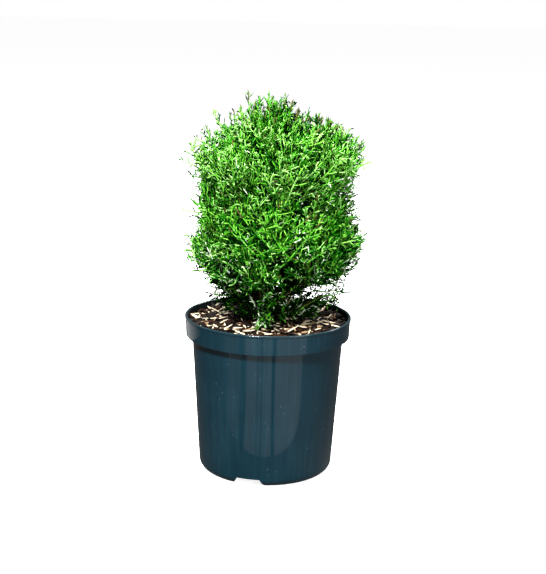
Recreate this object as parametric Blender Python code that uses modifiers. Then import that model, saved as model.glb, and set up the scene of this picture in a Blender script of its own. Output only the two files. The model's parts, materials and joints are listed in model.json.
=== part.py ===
"""A young thuja standing in a round plastic nursery pot.

Metres, +Z up. The pot's foot ring stands on Z = 0 and the pot's axis is the Z axis, so -Y is the
side that is seen first. The pieces are the pot, the growing mix, a layer of bark mulch, one trunk,
a bough for each mass that hangs away from the trunk, and the masses of flat sprays. Pieces that
touch keep a gap of SEAT between them.
"""

import math
import random

import bmesh
import bpy
import numpy as np
from mathutils import Matrix, Vector

SEAT = 0.0003
UP = Vector((0, 0, 1))

# ---------------------------------------------------------------- the pot's driving sizes
POT_HEIGHT = 0.161
WALL = 0.0014
LIP_RADIUS = 0.0850
LIP_HEIGHT = 0.0024
COLLAR_TOP_RADIUS = 0.0843
COLLAR_FOOT_RADIUS = 0.0836
COLLAR_HEIGHT = 0.0205
BODY_TOP_RADIUS = 0.0772
BODY_FOOT_RADIUS = 0.0690
FOOT_ROUNDING = 0.0082
FOOT_RING_WIDTH = 0.0024
BASE_RECESS = 0.0066
POT_SIDES = 48

NOTCH_COUNT = 3
NOTCH_HEIGHT = 0.0060
NOTCH_MOUTH = 0.0310
NOTCH_TOP = 0.0235
FIRST_NOTCH = math.radians(-104)

DRAIN_COUNT = 6
DRAIN_RADIUS = 0.0045
DRAIN_RING_RADIUS = 0.0400
DRAIN_SIDES = 8

# ---------------------------------------------------------------- growing mix and mulch
MIX_TOP = 0.1490
MIX_SIDES = 48
MULCH_TOP = 0.1530
MULCH_CROWN = 0.0012
MULCH_HOLE_RADIUS = 0.0105
CHIP_COUNT = 18
CHIP_LENGTH = (0.009, 0.019)
CHIP_WIDTH = (0.0022, 0.0048)
CHIP_THICKNESS = 0.0016
CHIP_TILT = math.radians(14)

# ---------------------------------------------------------------- trunk
TRUNK_TOP = 0.308
TRUNK_LEAN = Vector((0.0010, 0.0020, 0))
FLARE_RADIUS = 0.0082
FLARE_HEIGHT = 0.0090
TRUNK_FOOT_RADIUS = 0.0052
TRUNK_TIP_RADIUS = 0.0012
TRUNK_STEPS = 9

# ---------------------------------------------------------------- crown: (height, radius) of its outer surface
CROWN_TOP = 0.386
LEADER_TIP = Vector((-0.0090, 0.0020, CROWN_TOP))
CROWN_OUTLINE = (
    (0.158, 0.046),
    (0.170, 0.067),
    (0.196, 0.073),
    (0.215, 0.081),
    (0.234, 0.0905),
    (0.255, 0.083),
    (0.280, 0.082),
    (0.305, 0.084),
    (0.322, 0.0905),
    (0.338, 0.087),
    (0.347, 0.077),
    (0.356, 0.062),
    (0.368, 0.048),
    (0.378, 0.034),
    (CROWN_TOP, 0.016),
)
CROWN_SHIFT = Vector((0.0020, 0.0, 0.0))
LOWEST_LEAF = 0.1585
RIM_CLEARANCE = 0.0650
LOWEST_LEAF_OVER_RIM = 0.1635

# Each tier: name, masses, sprays in each, first azimuth in degrees, foot heights on the trunk,
# height of the tips, angle at which a limb leaves the trunk, and the bough's share of the way.
TIERS = (
    ("skirt", 6, 3, 264, (0.159, 0.165), 0.176, 5, 0.0),
    ("low", 7, 4, 258, (0.171, 0.181), 0.231, 12, 0.40),
    ("mid", 7, 4, 270, (0.189, 0.203), 0.280, 28, 0.42),
    ("high", 7, 4, 283, (0.212, 0.228), 0.328, 42, 0.44),
    ("top", 3, 4, 262, (0.258, 0.270), 0.371, 55, 0.44),
)
LEADER_SPRAYS = 4
BOUGH_FOOT_RADIUS = 0.0021
BOUGH_TIP_RADIUS = 0.0011
BOUGH_STEPS = 3

# ---------------------------------------------------------------- sprays
STEM_RADIUS = (0.0011, 0.0007)
TWIG_RADIUS = (0.0008, 0.0006)
TWIG_SIDES = 3
SPRAY_LENGTH = 0.056
SHORTEST_SPRAY = 0.030
LONGEST_TWIG = 0.028
SPRAY_HALF_WIDTH = 0.0220
SPRAY_THICKNESS = 0.0011
TOOTH_ANGLE = math.radians(44)
TOOTH_REACH = (0.86, 1.0, 0.66)
RIB_HALF_WIDTH = (0.0014, 0.0038, 0.0030)
FIRST_TOOTH = 0.10
TOOTH_PITCH = 0.27
SPRAY_ROOT = 0.0040
TRIES_PER_MASS = 420
CELL_MARGIN = 0.0006
LIMB_MARGIN = 0.0006
SEED = 20


# ================================================================ small helpers
def material(name, colour, roughness):
    """A Principled material of one colour."""
    made = bpy.data.materials.new(name)
    made.use_nodes = True
    shader = made.node_tree.nodes["Principled BSDF"]
    shader.inputs["Base Color"].default_value = (*colour, 1)
    shader.inputs["Roughness"].default_value = roughness
    shader.inputs["Metallic"].default_value = 0
    return made


def link(name, data, collection, finish=None):
    """A named object for this mesh or curve, in the collection."""
    made = bpy.data.objects.new(name, data)
    collection.objects.link(made)
    if finish:
        data.materials.append(finish)
    return made


def mesh_from(name, shape):
    """The finished bmesh as a mesh."""
    data = bpy.data.meshes.new(name)
    shape.to_mesh(data)
    shape.free()
    return data


def turned(name, profile, sides, collection, finish):
    """A closed profile of (radius, height) turned about Z. Its outer side runs down."""
    shape = bmesh.new()
    corners = [shape.verts.new((radius, 0, height)) for radius, height in profile]
    for first, second in zip(corners, corners[1:]):
        shape.edges.new((first, second))
    if profile[0][0] > 0:
        shape.edges.new((corners[-1], corners[0]))
    made = link(name, mesh_from(name, shape), collection, finish)
    screw = made.modifiers.new("turn", "SCREW")
    screw.steps = screw.render_steps = sides
    screw.use_merge_vertices = True
    screw.merge_threshold = 0.00001
    return made


def settle(made):
    """Applies the object's modifiers."""
    graph = bpy.context.evaluated_depsgraph_get()
    finished = bpy.data.meshes.new_from_object(made.evaluated_get(graph))
    made.modifiers.clear()
    made.data = finished


def boolean(made, operation, others, solver="EXACT"):
    """Cuts or joins a whole collection in one step, and removes what was used."""
    step = made.modifiers.new(operation.lower(), "BOOLEAN")
    step.operation = operation
    step.operand_type = "COLLECTION"
    step.collection = others
    step.solver = solver
    settle(made)
    for used in list(others.objects):
        bpy.data.objects.remove(used)
    bpy.data.collections.remove(others)


def keep_body(made):
    """Fills any hollow that a union sealed and drops loose scraps: only the largest shell stays."""
    shape = bmesh.new()
    shape.from_mesh(made.data)
    left = set(shape.verts)
    shells = []
    while left:
        shell, edge = set(), [left.pop()]
        while edge:
            corner = edge.pop()
            shell.add(corner)
            near = {link_edge.other_vert(corner) for link_edge in corner.link_edges} & left
            left -= near
            edge += near
        shells.append(shell)
    shells.sort(key=len)
    scrap = [corner for shell in shells[:-1] for corner in shell]
    bmesh.ops.delete(shape, geom=scrap, context="VERTS")
    shape.to_mesh(made.data)
    shape.free()


def scratch_collection(name):
    """A collection for pieces that a Boolean uses up."""
    made = bpy.data.collections.new(name)
    bpy.context.scene.collection.children.link(made)
    return made


def smooth(made, angle):
    """Smooth shading with the edges sharper than this angle kept."""
    made.data.shade_smooth()
    made.data.set_sharp_from_angle(angle=angle)


# ================================================================ the pot
def body_radius(height):
    """The pot's outer radius between its foot rounding and its collar."""
    low, high = FOOT_ROUNDING, POT_HEIGHT - COLLAR_HEIGHT
    share = (height - low) / (high - low)
    return BODY_FOOT_RADIUS + (BODY_TOP_RADIUS - BODY_FOOT_RADIUS) * share


def inner_profile(gap):
    """The pot's inner wall from the base plate up to the lip, moved inwards by a gap."""
    shelf = POT_HEIGHT - COLLAR_HEIGHT + WALL
    plate = BASE_RECESS + WALL
    inset = WALL + gap
    return [
        (BODY_FOOT_RADIUS - FOOT_ROUNDING * 0.50, plate),
        (body_radius(0.0135) - inset, 0.0135),
        (body_radius(shelf) - inset, shelf),
        (COLLAR_FOOT_RADIUS - inset, shelf + 0.0006),
    ]


def outer_profile():
    """The pot's outer side from the lip down to the foot ring."""
    shelf = POT_HEIGHT - COLLAR_HEIGHT
    under_lip = POT_HEIGHT - LIP_HEIGHT
    side = [
        (LIP_RADIUS - 0.0026, POT_HEIGHT),
        (LIP_RADIUS - 0.0005, POT_HEIGHT),
        (LIP_RADIUS, POT_HEIGHT - 0.0006),
        (LIP_RADIUS, under_lip + 0.0005),
        (COLLAR_TOP_RADIUS, under_lip),
        (COLLAR_FOOT_RADIUS, shelf + 0.0010),
        (COLLAR_FOOT_RADIUS - 0.0010, shelf),
        (BODY_TOP_RADIUS + 0.0008, shelf),
        (BODY_TOP_RADIUS, shelf - 0.0010),
    ]
    centre = BODY_FOOT_RADIUS - FOOT_ROUNDING
    for turn in range(4):
        angle = math.radians(90 * turn / 3)
        side.append(
            (centre + FOOT_ROUNDING * math.cos(angle), FOOT_ROUNDING * (1 - math.sin(angle)))
        )
    return side


def notch_cutter(angle, collection):
    """A wedge with sloping ends that takes one gap out of the foot ring."""
    shape = bmesh.new()
    bmesh.ops.create_cube(shape, size=1)
    for corner in shape.verts:
        above = corner.co.z > 0
        width = NOTCH_TOP if above else NOTCH_MOUTH + 0.004
        corner.co.x = BODY_FOOT_RADIUS - 0.006 + corner.co.x * 0.024
        corner.co.y = math.copysign(width / 2, corner.co.y)
        corner.co.z = NOTCH_HEIGHT if above else -0.002
    bmesh.ops.rotate(shape, verts=shape.verts, matrix=Matrix.Rotation(angle, 3, "Z"))
    return link("notch", mesh_from("notch", shape), collection)


def drain_cutter(angle, collection):
    """A short cylinder through the base plate."""
    shape = bmesh.new()
    bmesh.ops.create_cone(
        shape, cap_ends=True, segments=DRAIN_SIDES, radius1=DRAIN_RADIUS, radius2=DRAIN_RADIUS, depth=WALL * 4
    )
    place = Vector((DRAIN_RING_RADIUS * math.cos(angle), DRAIN_RING_RADIUS * math.sin(angle), BASE_RECESS + WALL / 2))
    bmesh.ops.translate(shape, verts=shape.verts, vec=place)
    return link("drain", mesh_from("drain", shape), collection)


def make_pot(collection):
    """The thin-walled pot with its stepped collar, raised base plate, notched foot ring and drains."""
    ring_outer = BODY_FOOT_RADIUS - FOOT_ROUNDING
    ring_inner = ring_outer - FOOT_RING_WIDTH
    plate_top = BASE_RECESS + WALL
    profile = [(0, plate_top)] + inner_profile(0)
    profile.append((LIP_RADIUS - 0.0026, POT_HEIGHT - 0.0008))
    profile += outer_profile()
    profile += [(ring_inner, 0), (ring_inner - 0.0006, BASE_RECESS), (0, BASE_RECESS)]
    plastic = material("pot_plastic", (0.010, 0.040, 0.056), 0.28)
    pot = turned("pot", profile, POT_SIDES, collection, plastic)
    settle(pot)
    cutters = scratch_collection("pot_cutters")
    for turn in range(NOTCH_COUNT):
        notch_cutter(FIRST_NOTCH + turn * math.tau / NOTCH_COUNT, cutters)
    for turn in range(DRAIN_COUNT):
        drain_cutter(FIRST_NOTCH + (turn + 0.5) * math.tau / DRAIN_COUNT, cutters)
    boolean(pot, "DIFFERENCE", cutters)
    smooth(pot, math.radians(28))
    return pot


# ================================================================ growing mix and mulch
def make_mix(collection):
    """The growing mix that fills the pot, its top a flat ground for the trunk."""
    wall = inner_profile(SEAT)
    floor = BASE_RECESS + WALL + SEAT
    side = [(radius, height + SEAT) for radius, height in wall]
    top_radius = side[-1][0]
    profile = [(0, MIX_TOP), (top_radius, MIX_TOP)] + side[::-1]
    profile += [(0, floor)]
    earth = material("growing_mix", (0.030, 0.019, 0.012), 0.95)
    mix = turned("growing_mix", profile, MIX_SIDES, collection, earth)
    settle(mix)
    return mix


def chip(rng, collection):
    """One flat sliver of bark lying in the mulch, a little tipped."""
    shape = bmesh.new()
    bmesh.ops.create_cube(shape, size=1)
    size = Vector((rng.uniform(*CHIP_LENGTH), rng.uniform(*CHIP_WIDTH), CHIP_THICKNESS))
    bmesh.ops.scale(shape, verts=shape.verts, vec=size)
    tip = Matrix.Rotation(rng.uniform(-CHIP_TILT, CHIP_TILT), 3, "Y")
    turn = Matrix.Rotation(rng.uniform(0, math.tau), 3, "Z")
    bmesh.ops.rotate(shape, verts=shape.verts, matrix=turn @ tip)
    reach = math.sqrt(rng.uniform(0.07, 1.0)) * 0.069
    around = rng.uniform(0, math.tau)
    place = Vector((reach * math.cos(around), reach * math.sin(around), MULCH_TOP + 0.0009))
    bmesh.ops.translate(shape, verts=shape.verts, vec=place)
    return link("chip", mesh_from("chip", shape), collection)


def make_mulch(collection):
    """A thin layer of bark round the trunk, with slivers that stand out of it."""
    outer = COLLAR_FOOT_RADIUS - WALL - SEAT
    profile = [
        (MULCH_HOLE_RADIUS, MULCH_TOP + MULCH_CROWN),
        (outer, MULCH_TOP),
        (outer, MIX_TOP + SEAT),
        (MULCH_HOLE_RADIUS, MIX_TOP + SEAT),
    ]
    bark = material("bark_mulch", (0.135, 0.085, 0.050), 0.9)
    mulch = turned("bark_mulch", profile, MIX_SIDES, collection, bark)
    settle(mulch)
    rng = random.Random(SEED)
    chips = scratch_collection("chips")
    for _ in range(CHIP_COUNT):
        chip(rng, chips)
    boolean(mulch, "UNION", chips)
    keep_body(mulch)
    return mulch


# ================================================================ trunk and boughs
def trunk_radius(height):
    """The trunk's radius, with the flare at its root."""
    share = (height - MIX_TOP) / (TRUNK_TOP - MIX_TOP)
    plain = TRUNK_FOOT_RADIUS + (TRUNK_TIP_RADIUS - TRUNK_FOOT_RADIUS) * share
    flare = max(0.0, 1 - (height - MIX_TOP) / FLARE_HEIGHT)
    return plain + (FLARE_RADIUS - TRUNK_FOOT_RADIUS) * flare**2


def trunk_point(height):
    """The trunk's centre line: upright at the ground, then leaning with a slight curve."""
    share = max(0.0, (height - MIX_TOP) / (TRUNK_TOP - MIX_TOP))
    return TRUNK_LEAN * share**1.4 + UP * height


def limb_curve(name, points, radii, resolution, collection, finish):
    """A tapering limb: a curve with flat ends and a radius at each point."""
    course = bpy.data.curves.new(name, "CURVE")
    course.dimensions = "3D"
    course.bevel_depth = 0.001
    course.bevel_resolution = resolution
    course.use_fill_caps = True
    line = course.splines.new("POLY")
    line.points.add(len(points) - 1)
    for corner, place, radius in zip(line.points, points, radii):
        corner.co = (*place, 1)
        corner.radius = radius / course.bevel_depth
    line.use_smooth = True
    return link(name, course, collection, finish)


def trunk_course():
    """Points and radii of the trunk from its flat cut at the ground to its tip."""
    low = MIX_TOP + SEAT
    heights = [low, low + 0.0035, low + FLARE_HEIGHT]
    rest = TRUNK_TOP - heights[-1]
    heights += [heights[-1] + rest * step / TRUNK_STEPS for step in range(1, TRUNK_STEPS + 1)]
    points = [trunk_point(height) for height in heights]
    points[0].x, points[0].y = points[1].x, points[1].y
    return points, [trunk_radius(height) for height in heights]


def crown_radius(height):
    """How far the crown reaches from its axis at a height."""
    heights, radii = zip(*CROWN_OUTLINE)
    return float(np.interp(height, heights, radii))


def crown_point(azimuth, height):
    """A point on the crown's outer surface."""
    out = Vector((math.cos(azimuth), math.sin(azimuth), 0))
    return CROWN_SHIFT + out * crown_radius(height) + UP * height


def limb_start(azimuth, leave, height, radius):
    """Where a limb's flat end sits clear of the trunk, and the way it leaves."""
    way = Vector((math.cos(azimuth) * math.cos(leave), math.sin(azimuth) * math.cos(leave), math.sin(leave)))
    clear = trunk_radius(height) + SEAT + radius * math.sin(leave)
    return trunk_point(height) + way * (clear / math.cos(leave)), way


def bent_course(start, way, end):
    """A limb that leaves one way and bends evenly to its end."""
    knee = start + way * (end - start).length * 0.5
    points = []
    for step in range(BOUGH_STEPS + 1):
        t = step / BOUGH_STEPS
        points.append(start * (1 - t) ** 2 + knee * 2 * t * (1 - t) + end * t**2)
    return points


class Mass:
    """One mass of foliage: its bough's course, its stem's two ends and the seed of its space."""


    def __init__(self, name, sprays, bough, start, target):
        self.name = name
        self.sprays = sprays
        self.bough = bough
        self.start = start
        self.target = target
        self.way = (target - start).normalized()
        reach = (target - start).length
        self.stem_end = start + self.way * max(0.010, reach - SPRAY_LENGTH * 0.55)
        self.seed = start.lerp(target, 0.60)


def plan_masses():
    """Where every mass and its bough sit, tier by tier, and the leader on the trunk's tip."""
    rng = random.Random(SEED)
    masses = []
    for name, count, sprays, first, feet, height, leave, share in TIERS:
        for number in range(count):
            azimuth = math.radians(first + 360 * number / count + rng.uniform(-4, 4))
            foot = feet[0] + (feet[1] - feet[0]) * ((number * 0.618) % 1)
            target = crown_point(azimuth, height + rng.uniform(-0.005, 0.005))
            angle = math.radians(leave)
            radius = BOUGH_FOOT_RADIUS if share else STEM_RADIUS[0]
            start, way = limb_start(azimuth, angle, foot, radius)
            bough = None
            if share:
                tip = start.lerp(target, share)
                bough = bent_course(start, way, tip)
                start = tip + (bough[-1] - bough[-2]).normalized() * SEAT
            masses.append(Mass(f"{name}_{number + 1}", sprays, bough, start, target))
    top = trunk_point(TRUNK_TOP)
    lean = (top - trunk_point(TRUNK_TOP - 0.01)).normalized()
    masses.append(Mass("leader", LEADER_SPRAYS, None, top + lean * SEAT, LEADER_TIP))
    return masses


# ================================================================ foliage
def samples(points, radii, step=0.001):
    """Points along a limb with its radius at each, for the clearance tests."""
    rows = []
    for first, second, r1, r2 in zip(points, points[1:], radii, radii[1:]):
        count = max(1, round((second - first).length / step))
        for k in range(count + 1):
            t = k / count
            rows.append((*first.lerp(second, t), r1 + (r2 - r1) * t))
    return np.array(rows)


def tapering(first, last, count):
    """Evenly changing radii."""
    return [first + (last - first) * k / (count - 1) for k in range(count)]


class Space:
    """Says whether a twig or a spray keeps to its mass's own space."""

    def __init__(self, masses):
        self.seeds = np.array([mass.seed for mass in masses])
        points, radii = trunk_course()
        self.limbs = [samples(points, radii)]
        for mass in masses:
            if mass.bough:
                count = len(mass.bough)
                self.limbs.append(samples(mass.bough, tapering(BOUGH_FOOT_RADIUS, BOUGH_TIP_RADIUS, count)))
        self.stems = [samples([m.start, m.stem_end], STEM_RADIUS) for m in masses]

    def others(self, index):
        """Every limb, and every stem but the mass's own."""
        stems = [stem for k, stem in enumerate(self.stems) if k != index]
        return np.vstack(self.limbs + stems)

    def holds(self, index, points):
        """True if the points lie in the mass's cell, in the crown, and clear of pot and mulch."""
        here = self.seeds[index]
        across = np.delete(self.seeds, index, axis=0) - here
        lengths = np.linalg.norm(across, axis=1)
        depth = (points - here) @ (across / lengths[:, None]).T
        if (depth > lengths / 2 - CELL_MARGIN).any():
            return False
        reach = np.hypot(points[:, 0] - CROWN_SHIFT.x, points[:, 1] - CROWN_SHIFT.y)
        allowed = np.array([crown_radius(height) for height in points[:, 2]])
        lowest = np.where(reach > RIM_CLEARANCE, LOWEST_LEAF_OVER_RIM, LOWEST_LEAF)
        inside = (reach <= allowed * 1.02 + 0.001) & (points[:, 2] <= CROWN_TOP)
        return bool((inside & (points[:, 2] >= lowest)).all())


def spray_outline(length):
    """Half outlines of one flat spray: teeth that point forward, staggered on the two sides."""
    size = length / SPRAY_LENGTH
    sides = []
    for stagger in (0.0, 0.4):
        side = []
        for k, (share, rib) in enumerate(zip(TOOTH_REACH, RIB_HALF_WIDTH)):
            root = length * (FIRST_TOOTH + (k + stagger) * TOOTH_PITCH)
            rise = SPRAY_HALF_WIDTH * size * share
            side.append((root, rib * size))
            side.append((root + rise / math.tan(TOOTH_ANGLE), rise))
        sides.append(side)
    return sides


def spray_shape(length):
    """The flat toothed blade, along +X, as a closed bmesh."""
    left, right = spray_outline(length)
    rib = RIB_HALF_WIDTH[0]
    outline = [(0, -rib)] + [(x, -y) for x, y in right]
    outline += [(length * 0.86, -rib), (length, 0), (length * 0.82, rib)] + left[::-1] + [(0, rib)]
    shape = bmesh.new()
    corners = [shape.verts.new((x, y, -SPRAY_THICKNESS / 2)) for x, y in outline]
    face = shape.faces.new(corners)
    grown = bmesh.ops.extrude_face_region(shape, geom=[face])
    raised = [item for item in grown["geom"] if isinstance(item, bmesh.types.BMVert)]
    bmesh.ops.translate(shape, verts=raised, vec=(0, 0, SPRAY_THICKNESS))
    bmesh.ops.recalc_face_normals(shape, faces=shape.faces)
    return shape


def spray_points(length):
    """Corners and inner points of the blade in its own frame."""
    left, right = spray_outline(length)
    corners = [(x, y) for x, y in left] + [(x, -y) for x, y in right]
    inner = [(x / 2 + 0.25 * length, y / 2) for x, y in corners]
    rib = [(length * k / 8, 0) for k in range(9)]
    return np.array([(x, y, 0) for x, y in corners + inner + rib])


def spray_frame(base, way, roll):
    """Axes of a spray: along its way, across it, and out of its flat side."""
    across = way.cross(UP)
    if across.length < 0.05:
        across = Vector((1, 0, 0))
    upright = across.cross(way).normalized()
    across = Matrix.Rotation(roll, 3, way) @ upright
    out = way.cross(across).normalized()
    frame = Matrix((way, across, out)).transposed().to_4x4()
    frame.translation = base
    return frame


def spray_clear(frame, length, limbs):
    """True if no limb passes through the spray's flat outline."""
    inverse = np.array(frame.inverted())
    local = limbs[:, :3] @ inverse[:3, :3].T + inverse[:3, 3]
    share = np.clip(local[:, 0] / length, 0, 1)
    half = SPRAY_HALF_WIDTH * (length / SPRAY_LENGTH) * np.minimum(1, 0.3 + 3.2 * share) * (1.15 - 0.75 * share)
    room = limbs[:, 3] + LIMB_MARGIN
    near = np.abs(local[:, 2]) < room + SPRAY_THICKNESS / 2
    near &= (local[:, 0] > -room) & (local[:, 0] < length + room)
    near &= np.abs(local[:, 1]) < half + room
    return not near.any()


def twig_clear(start, end, limbs):
    """True if no limb touches the twig."""
    line = samples([start, end], [TWIG_RADIUS[0]] * 2)[:, :3]
    apart = np.linalg.norm(line[:, None, :] - limbs[None, :, :3], axis=2)
    return bool((apart > limbs[:, 3] + TWIG_RADIUS[0] + LIMB_MARGIN).all())


def reach_to_surface(base, way):
    """How far a twig can run from here before it leaves the crown."""
    for step in range(4, 110):
        place = base + way * step * 0.001
        out = math.hypot(place.x - CROWN_SHIFT.x, place.y - CROWN_SHIFT.y)
        if place.z > CROWN_TOP or out > crown_radius(place.z):
            return (step - 1) * 0.001
    return 0.110


def fits(index, frame, length, space, limbs):
    """True if a spray keeps to its mass's space and clear of every limb."""
    local = spray_points(length)
    points = local @ np.array(frame)[:3, :3].T + np.array(frame.translation)
    return space.holds(index, points) and spray_clear(frame, length, limbs)


def end_spray(index, mass, space, limbs):
    """The spray that carries the stem on to the mass's furthest tip, as wide as will fit."""
    for length in (SPRAY_LENGTH, SPRAY_LENGTH * 0.84, SPRAY_LENGTH * 0.68):
        root = mass.target - mass.way * length
        for roll in (40, -40, 75, -75, 10, 100):
            frame = spray_frame(root, mass.way, math.radians(roll))
            if fits(index, frame, length, space, limbs):
                return frame, length
    return spray_frame(root, mass.way, 0), length


def candidates(index, mass, space, limbs):
    """Sprays that would fit: (middle, twig start, twig end, frame, length), turned round the stem."""
    rng = random.Random(f"{SEED} {mass.name}")
    stem = mass.stem_end - mass.start
    side = mass.way.orthogonal().normalized()
    turn = rng.uniform(0, math.tau)
    for _ in range(TRIES_PER_MASS):
        turn += math.radians(137.5)
        base = mass.start + stem * rng.uniform(0.10, 0.97)
        lean = math.radians(rng.uniform(24, 82))
        out = Matrix.Rotation(turn, 3, mass.way) @ side
        way = (mass.way * math.cos(lean) + out * math.sin(lean)).normalized()
        total = reach_to_surface(base, way) * rng.uniform(0.90, 1.0)
        length = min(SPRAY_LENGTH * rng.uniform(0.62, 1.0), total * 0.94)
        if length < SHORTEST_SPRAY or total > SPRAY_LENGTH + LONGEST_TWIG:
            continue
        root = base + way * (total - length)
        twig_end = root + way * SPRAY_ROOT * 1.4
        frame = spray_frame(root, way, rng.uniform(-math.pi / 2, math.pi / 2))
        if not space.holds(index, np.array([base])) or not fits(index, frame, length, space, limbs):
            continue
        if twig_clear(base, twig_end, limbs):
            yield root + way * length * 0.55, base, twig_end, frame, length


def grow_sprays(index, mass, space, middles):
    """The sprays of one mass. Each new one takes the emptiest place that is left in its space."""
    limbs = space.others(index)
    frame, length = end_spray(index, mass, space, limbs)
    grown = [(None, None, frame, length)]
    middles.append(mass.target - mass.way * length * 0.45)
    choice = list(candidates(index, mass, space, limbs))
    while choice and len(grown) < mass.sprays:
        best = max(choice, key=lambda spray: min((spray[0] - other).length for other in middles))
        choice.remove(best)
        grown.append(best[1:])
        middles.append(best[0])
    return grown


def twig_shape(start, end, radii):
    """A straight three-sided twig with flat ends."""
    shape = bmesh.new()
    way = end - start
    bmesh.ops.create_cone(
        shape, cap_ends=True, segments=TWIG_SIDES, radius1=radii[0], radius2=radii[1], depth=way.length
    )
    turn = way.to_track_quat("Z", "Y").to_matrix()
    bmesh.ops.rotate(shape, verts=shape.verts, matrix=turn)
    bmesh.ops.translate(shape, verts=shape.verts, vec=(start + end) / 2)
    return shape


def make_mass(index, mass, space, middles, collection, finish):
    """One mass: stem, twigs and sprays joined in one union."""
    name = "foliage_" + mass.name
    stem_end = mass.stem_end + mass.way * 0.001
    stem = link(name, mesh_from(name, twig_shape(mass.start, stem_end, STEM_RADIUS)), collection, finish)
    leaves = scratch_collection("leaves")
    for base, twig_end, frame, length in grow_sprays(index, mass, space, middles):
        blade = spray_shape(length)
        bmesh.ops.transform(blade, verts=blade.verts, matrix=frame)
        link("spray", mesh_from("spray", blade), leaves)
        if base:
            link("twig", mesh_from("twig", twig_shape(base, twig_end, TWIG_RADIUS)), leaves)
    boolean(stem, "UNION", leaves, "MANIFOLD")
    keep_body(stem)
    return stem


# ================================================================ the whole plant
def main():
    for old in list(bpy.data.objects):
        bpy.data.objects.remove(old)
    plant = bpy.data.collections.new("potted_thuja")
    bpy.context.scene.collection.children.link(plant)
    make_pot(plant)
    make_mix(plant)
    make_mulch(plant)
    bark = material("bark", (0.160, 0.085, 0.045), 0.9)
    young_bark = material("young_bark", (0.200, 0.120, 0.050), 0.8)
    green = material("thuja_green", (0.085, 0.240, 0.035), 0.6)
    points, radii = trunk_course()
    limb_curve("trunk", points, radii, 2, plant, bark)
    masses = plan_masses()
    space = Space(masses)
    middles = []
    for index, mass in enumerate(masses):
        if mass.bough:
            radii = tapering(BOUGH_FOOT_RADIUS, BOUGH_TIP_RADIUS, len(mass.bough))
            limb_curve("bough_" + mass.name, mass.bough, radii, 1, plant, young_bark)
        make_mass(index, mass, space, middles, plant, green)


main()
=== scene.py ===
# %% [markdown]
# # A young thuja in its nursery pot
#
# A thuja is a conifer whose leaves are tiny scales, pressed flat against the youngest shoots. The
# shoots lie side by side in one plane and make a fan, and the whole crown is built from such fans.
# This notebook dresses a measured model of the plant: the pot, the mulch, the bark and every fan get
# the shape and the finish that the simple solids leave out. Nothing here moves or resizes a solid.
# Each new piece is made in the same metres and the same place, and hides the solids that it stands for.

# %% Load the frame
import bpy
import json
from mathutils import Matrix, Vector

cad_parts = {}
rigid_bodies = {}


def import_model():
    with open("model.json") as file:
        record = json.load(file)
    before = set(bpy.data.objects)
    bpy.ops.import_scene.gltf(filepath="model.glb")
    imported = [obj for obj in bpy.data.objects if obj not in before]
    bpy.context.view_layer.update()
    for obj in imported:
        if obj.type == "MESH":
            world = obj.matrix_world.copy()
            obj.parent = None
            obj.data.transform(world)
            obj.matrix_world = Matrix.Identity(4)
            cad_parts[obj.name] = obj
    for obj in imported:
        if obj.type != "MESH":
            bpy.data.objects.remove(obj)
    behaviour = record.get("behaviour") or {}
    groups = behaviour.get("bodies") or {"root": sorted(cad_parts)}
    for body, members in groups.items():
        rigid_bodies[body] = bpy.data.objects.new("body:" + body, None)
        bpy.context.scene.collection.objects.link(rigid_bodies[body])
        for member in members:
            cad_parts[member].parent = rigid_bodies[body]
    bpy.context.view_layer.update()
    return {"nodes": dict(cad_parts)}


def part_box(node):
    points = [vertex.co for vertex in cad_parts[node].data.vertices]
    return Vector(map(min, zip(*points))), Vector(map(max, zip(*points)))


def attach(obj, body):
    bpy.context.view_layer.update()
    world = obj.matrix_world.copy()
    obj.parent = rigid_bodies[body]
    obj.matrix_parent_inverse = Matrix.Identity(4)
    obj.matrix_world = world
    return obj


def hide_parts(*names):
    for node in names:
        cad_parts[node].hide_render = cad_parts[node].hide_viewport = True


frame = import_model()

import collections
import itertools
import json
import math
import random

import bmesh
import bpy
import numpy as np
from mathutils import Matrix, Vector, noise

UP = Vector((0, 0, 1))
WHITE = (1, 1, 1)
BLACK = (0, 0, 0)
print("solids in the frame:", len(frame["nodes"]))

# %% [markdown]
# ## The camera
#
# The plant is seen from a little above its pot, from over a metre away, with a long lens, so the
# pot's rim shows as a slim ellipse and its sides hardly converge. A camera can be aimed with a
# constraint, but a matrix made from three axes is exact, and it can hold the slight tilt of a camera
# that is held by hand.

# %% Camera
VIEW_DISTANCE = 1.20
VIEW_HEIGHT = 0.190
VIEW_ASIDE = 0.0044
VIEW_PITCH = math.radians(13.1)
VIEW_ROLL = math.radians(1.3)
FILM_HEIGHT = 36.0
FOCAL_LENGTH = 73.9


def aim_camera():
    """A camera that looks along +Y and a little down, turned slightly about its own axis."""
    lens = bpy.data.cameras.new("view")
    lens.sensor_fit = "VERTICAL"
    lens.sensor_height = FILM_HEIGHT
    lens.lens = FOCAL_LENGTH
    forward = Vector((0, math.cos(VIEW_PITCH), -math.sin(VIEW_PITCH)))
    level = Vector((1, 0, 0))
    right = level * math.cos(VIEW_ROLL) + level.cross(forward) * math.sin(VIEW_ROLL)
    axes = Matrix((right, right.cross(forward), -forward)).transposed().to_4x4()
    axes.translation = Vector((VIEW_ASIDE, 0, VIEW_HEIGHT)) - forward * VIEW_DISTANCE
    view = bpy.data.objects.new("view", lens)
    view.matrix_world = axes
    bpy.context.scene.collection.objects.link(view)
    bpy.context.scene.camera = view
    return view


view = aim_camera()
print("camera at", [round(value, 3) for value in view.matrix_world.translation])

# %% [markdown]
# ## Small helpers
#
# Every material here is a Principled shader with a few nodes in front of it. The first helpers keep
# that short: they start a material, add a node and wire it in the same line, and give a link or a
# plain number to a Math node. Patterns are read in object coordinates, which stay with the piece
# wherever it goes, because every piece keeps its object at the origin.

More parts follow.
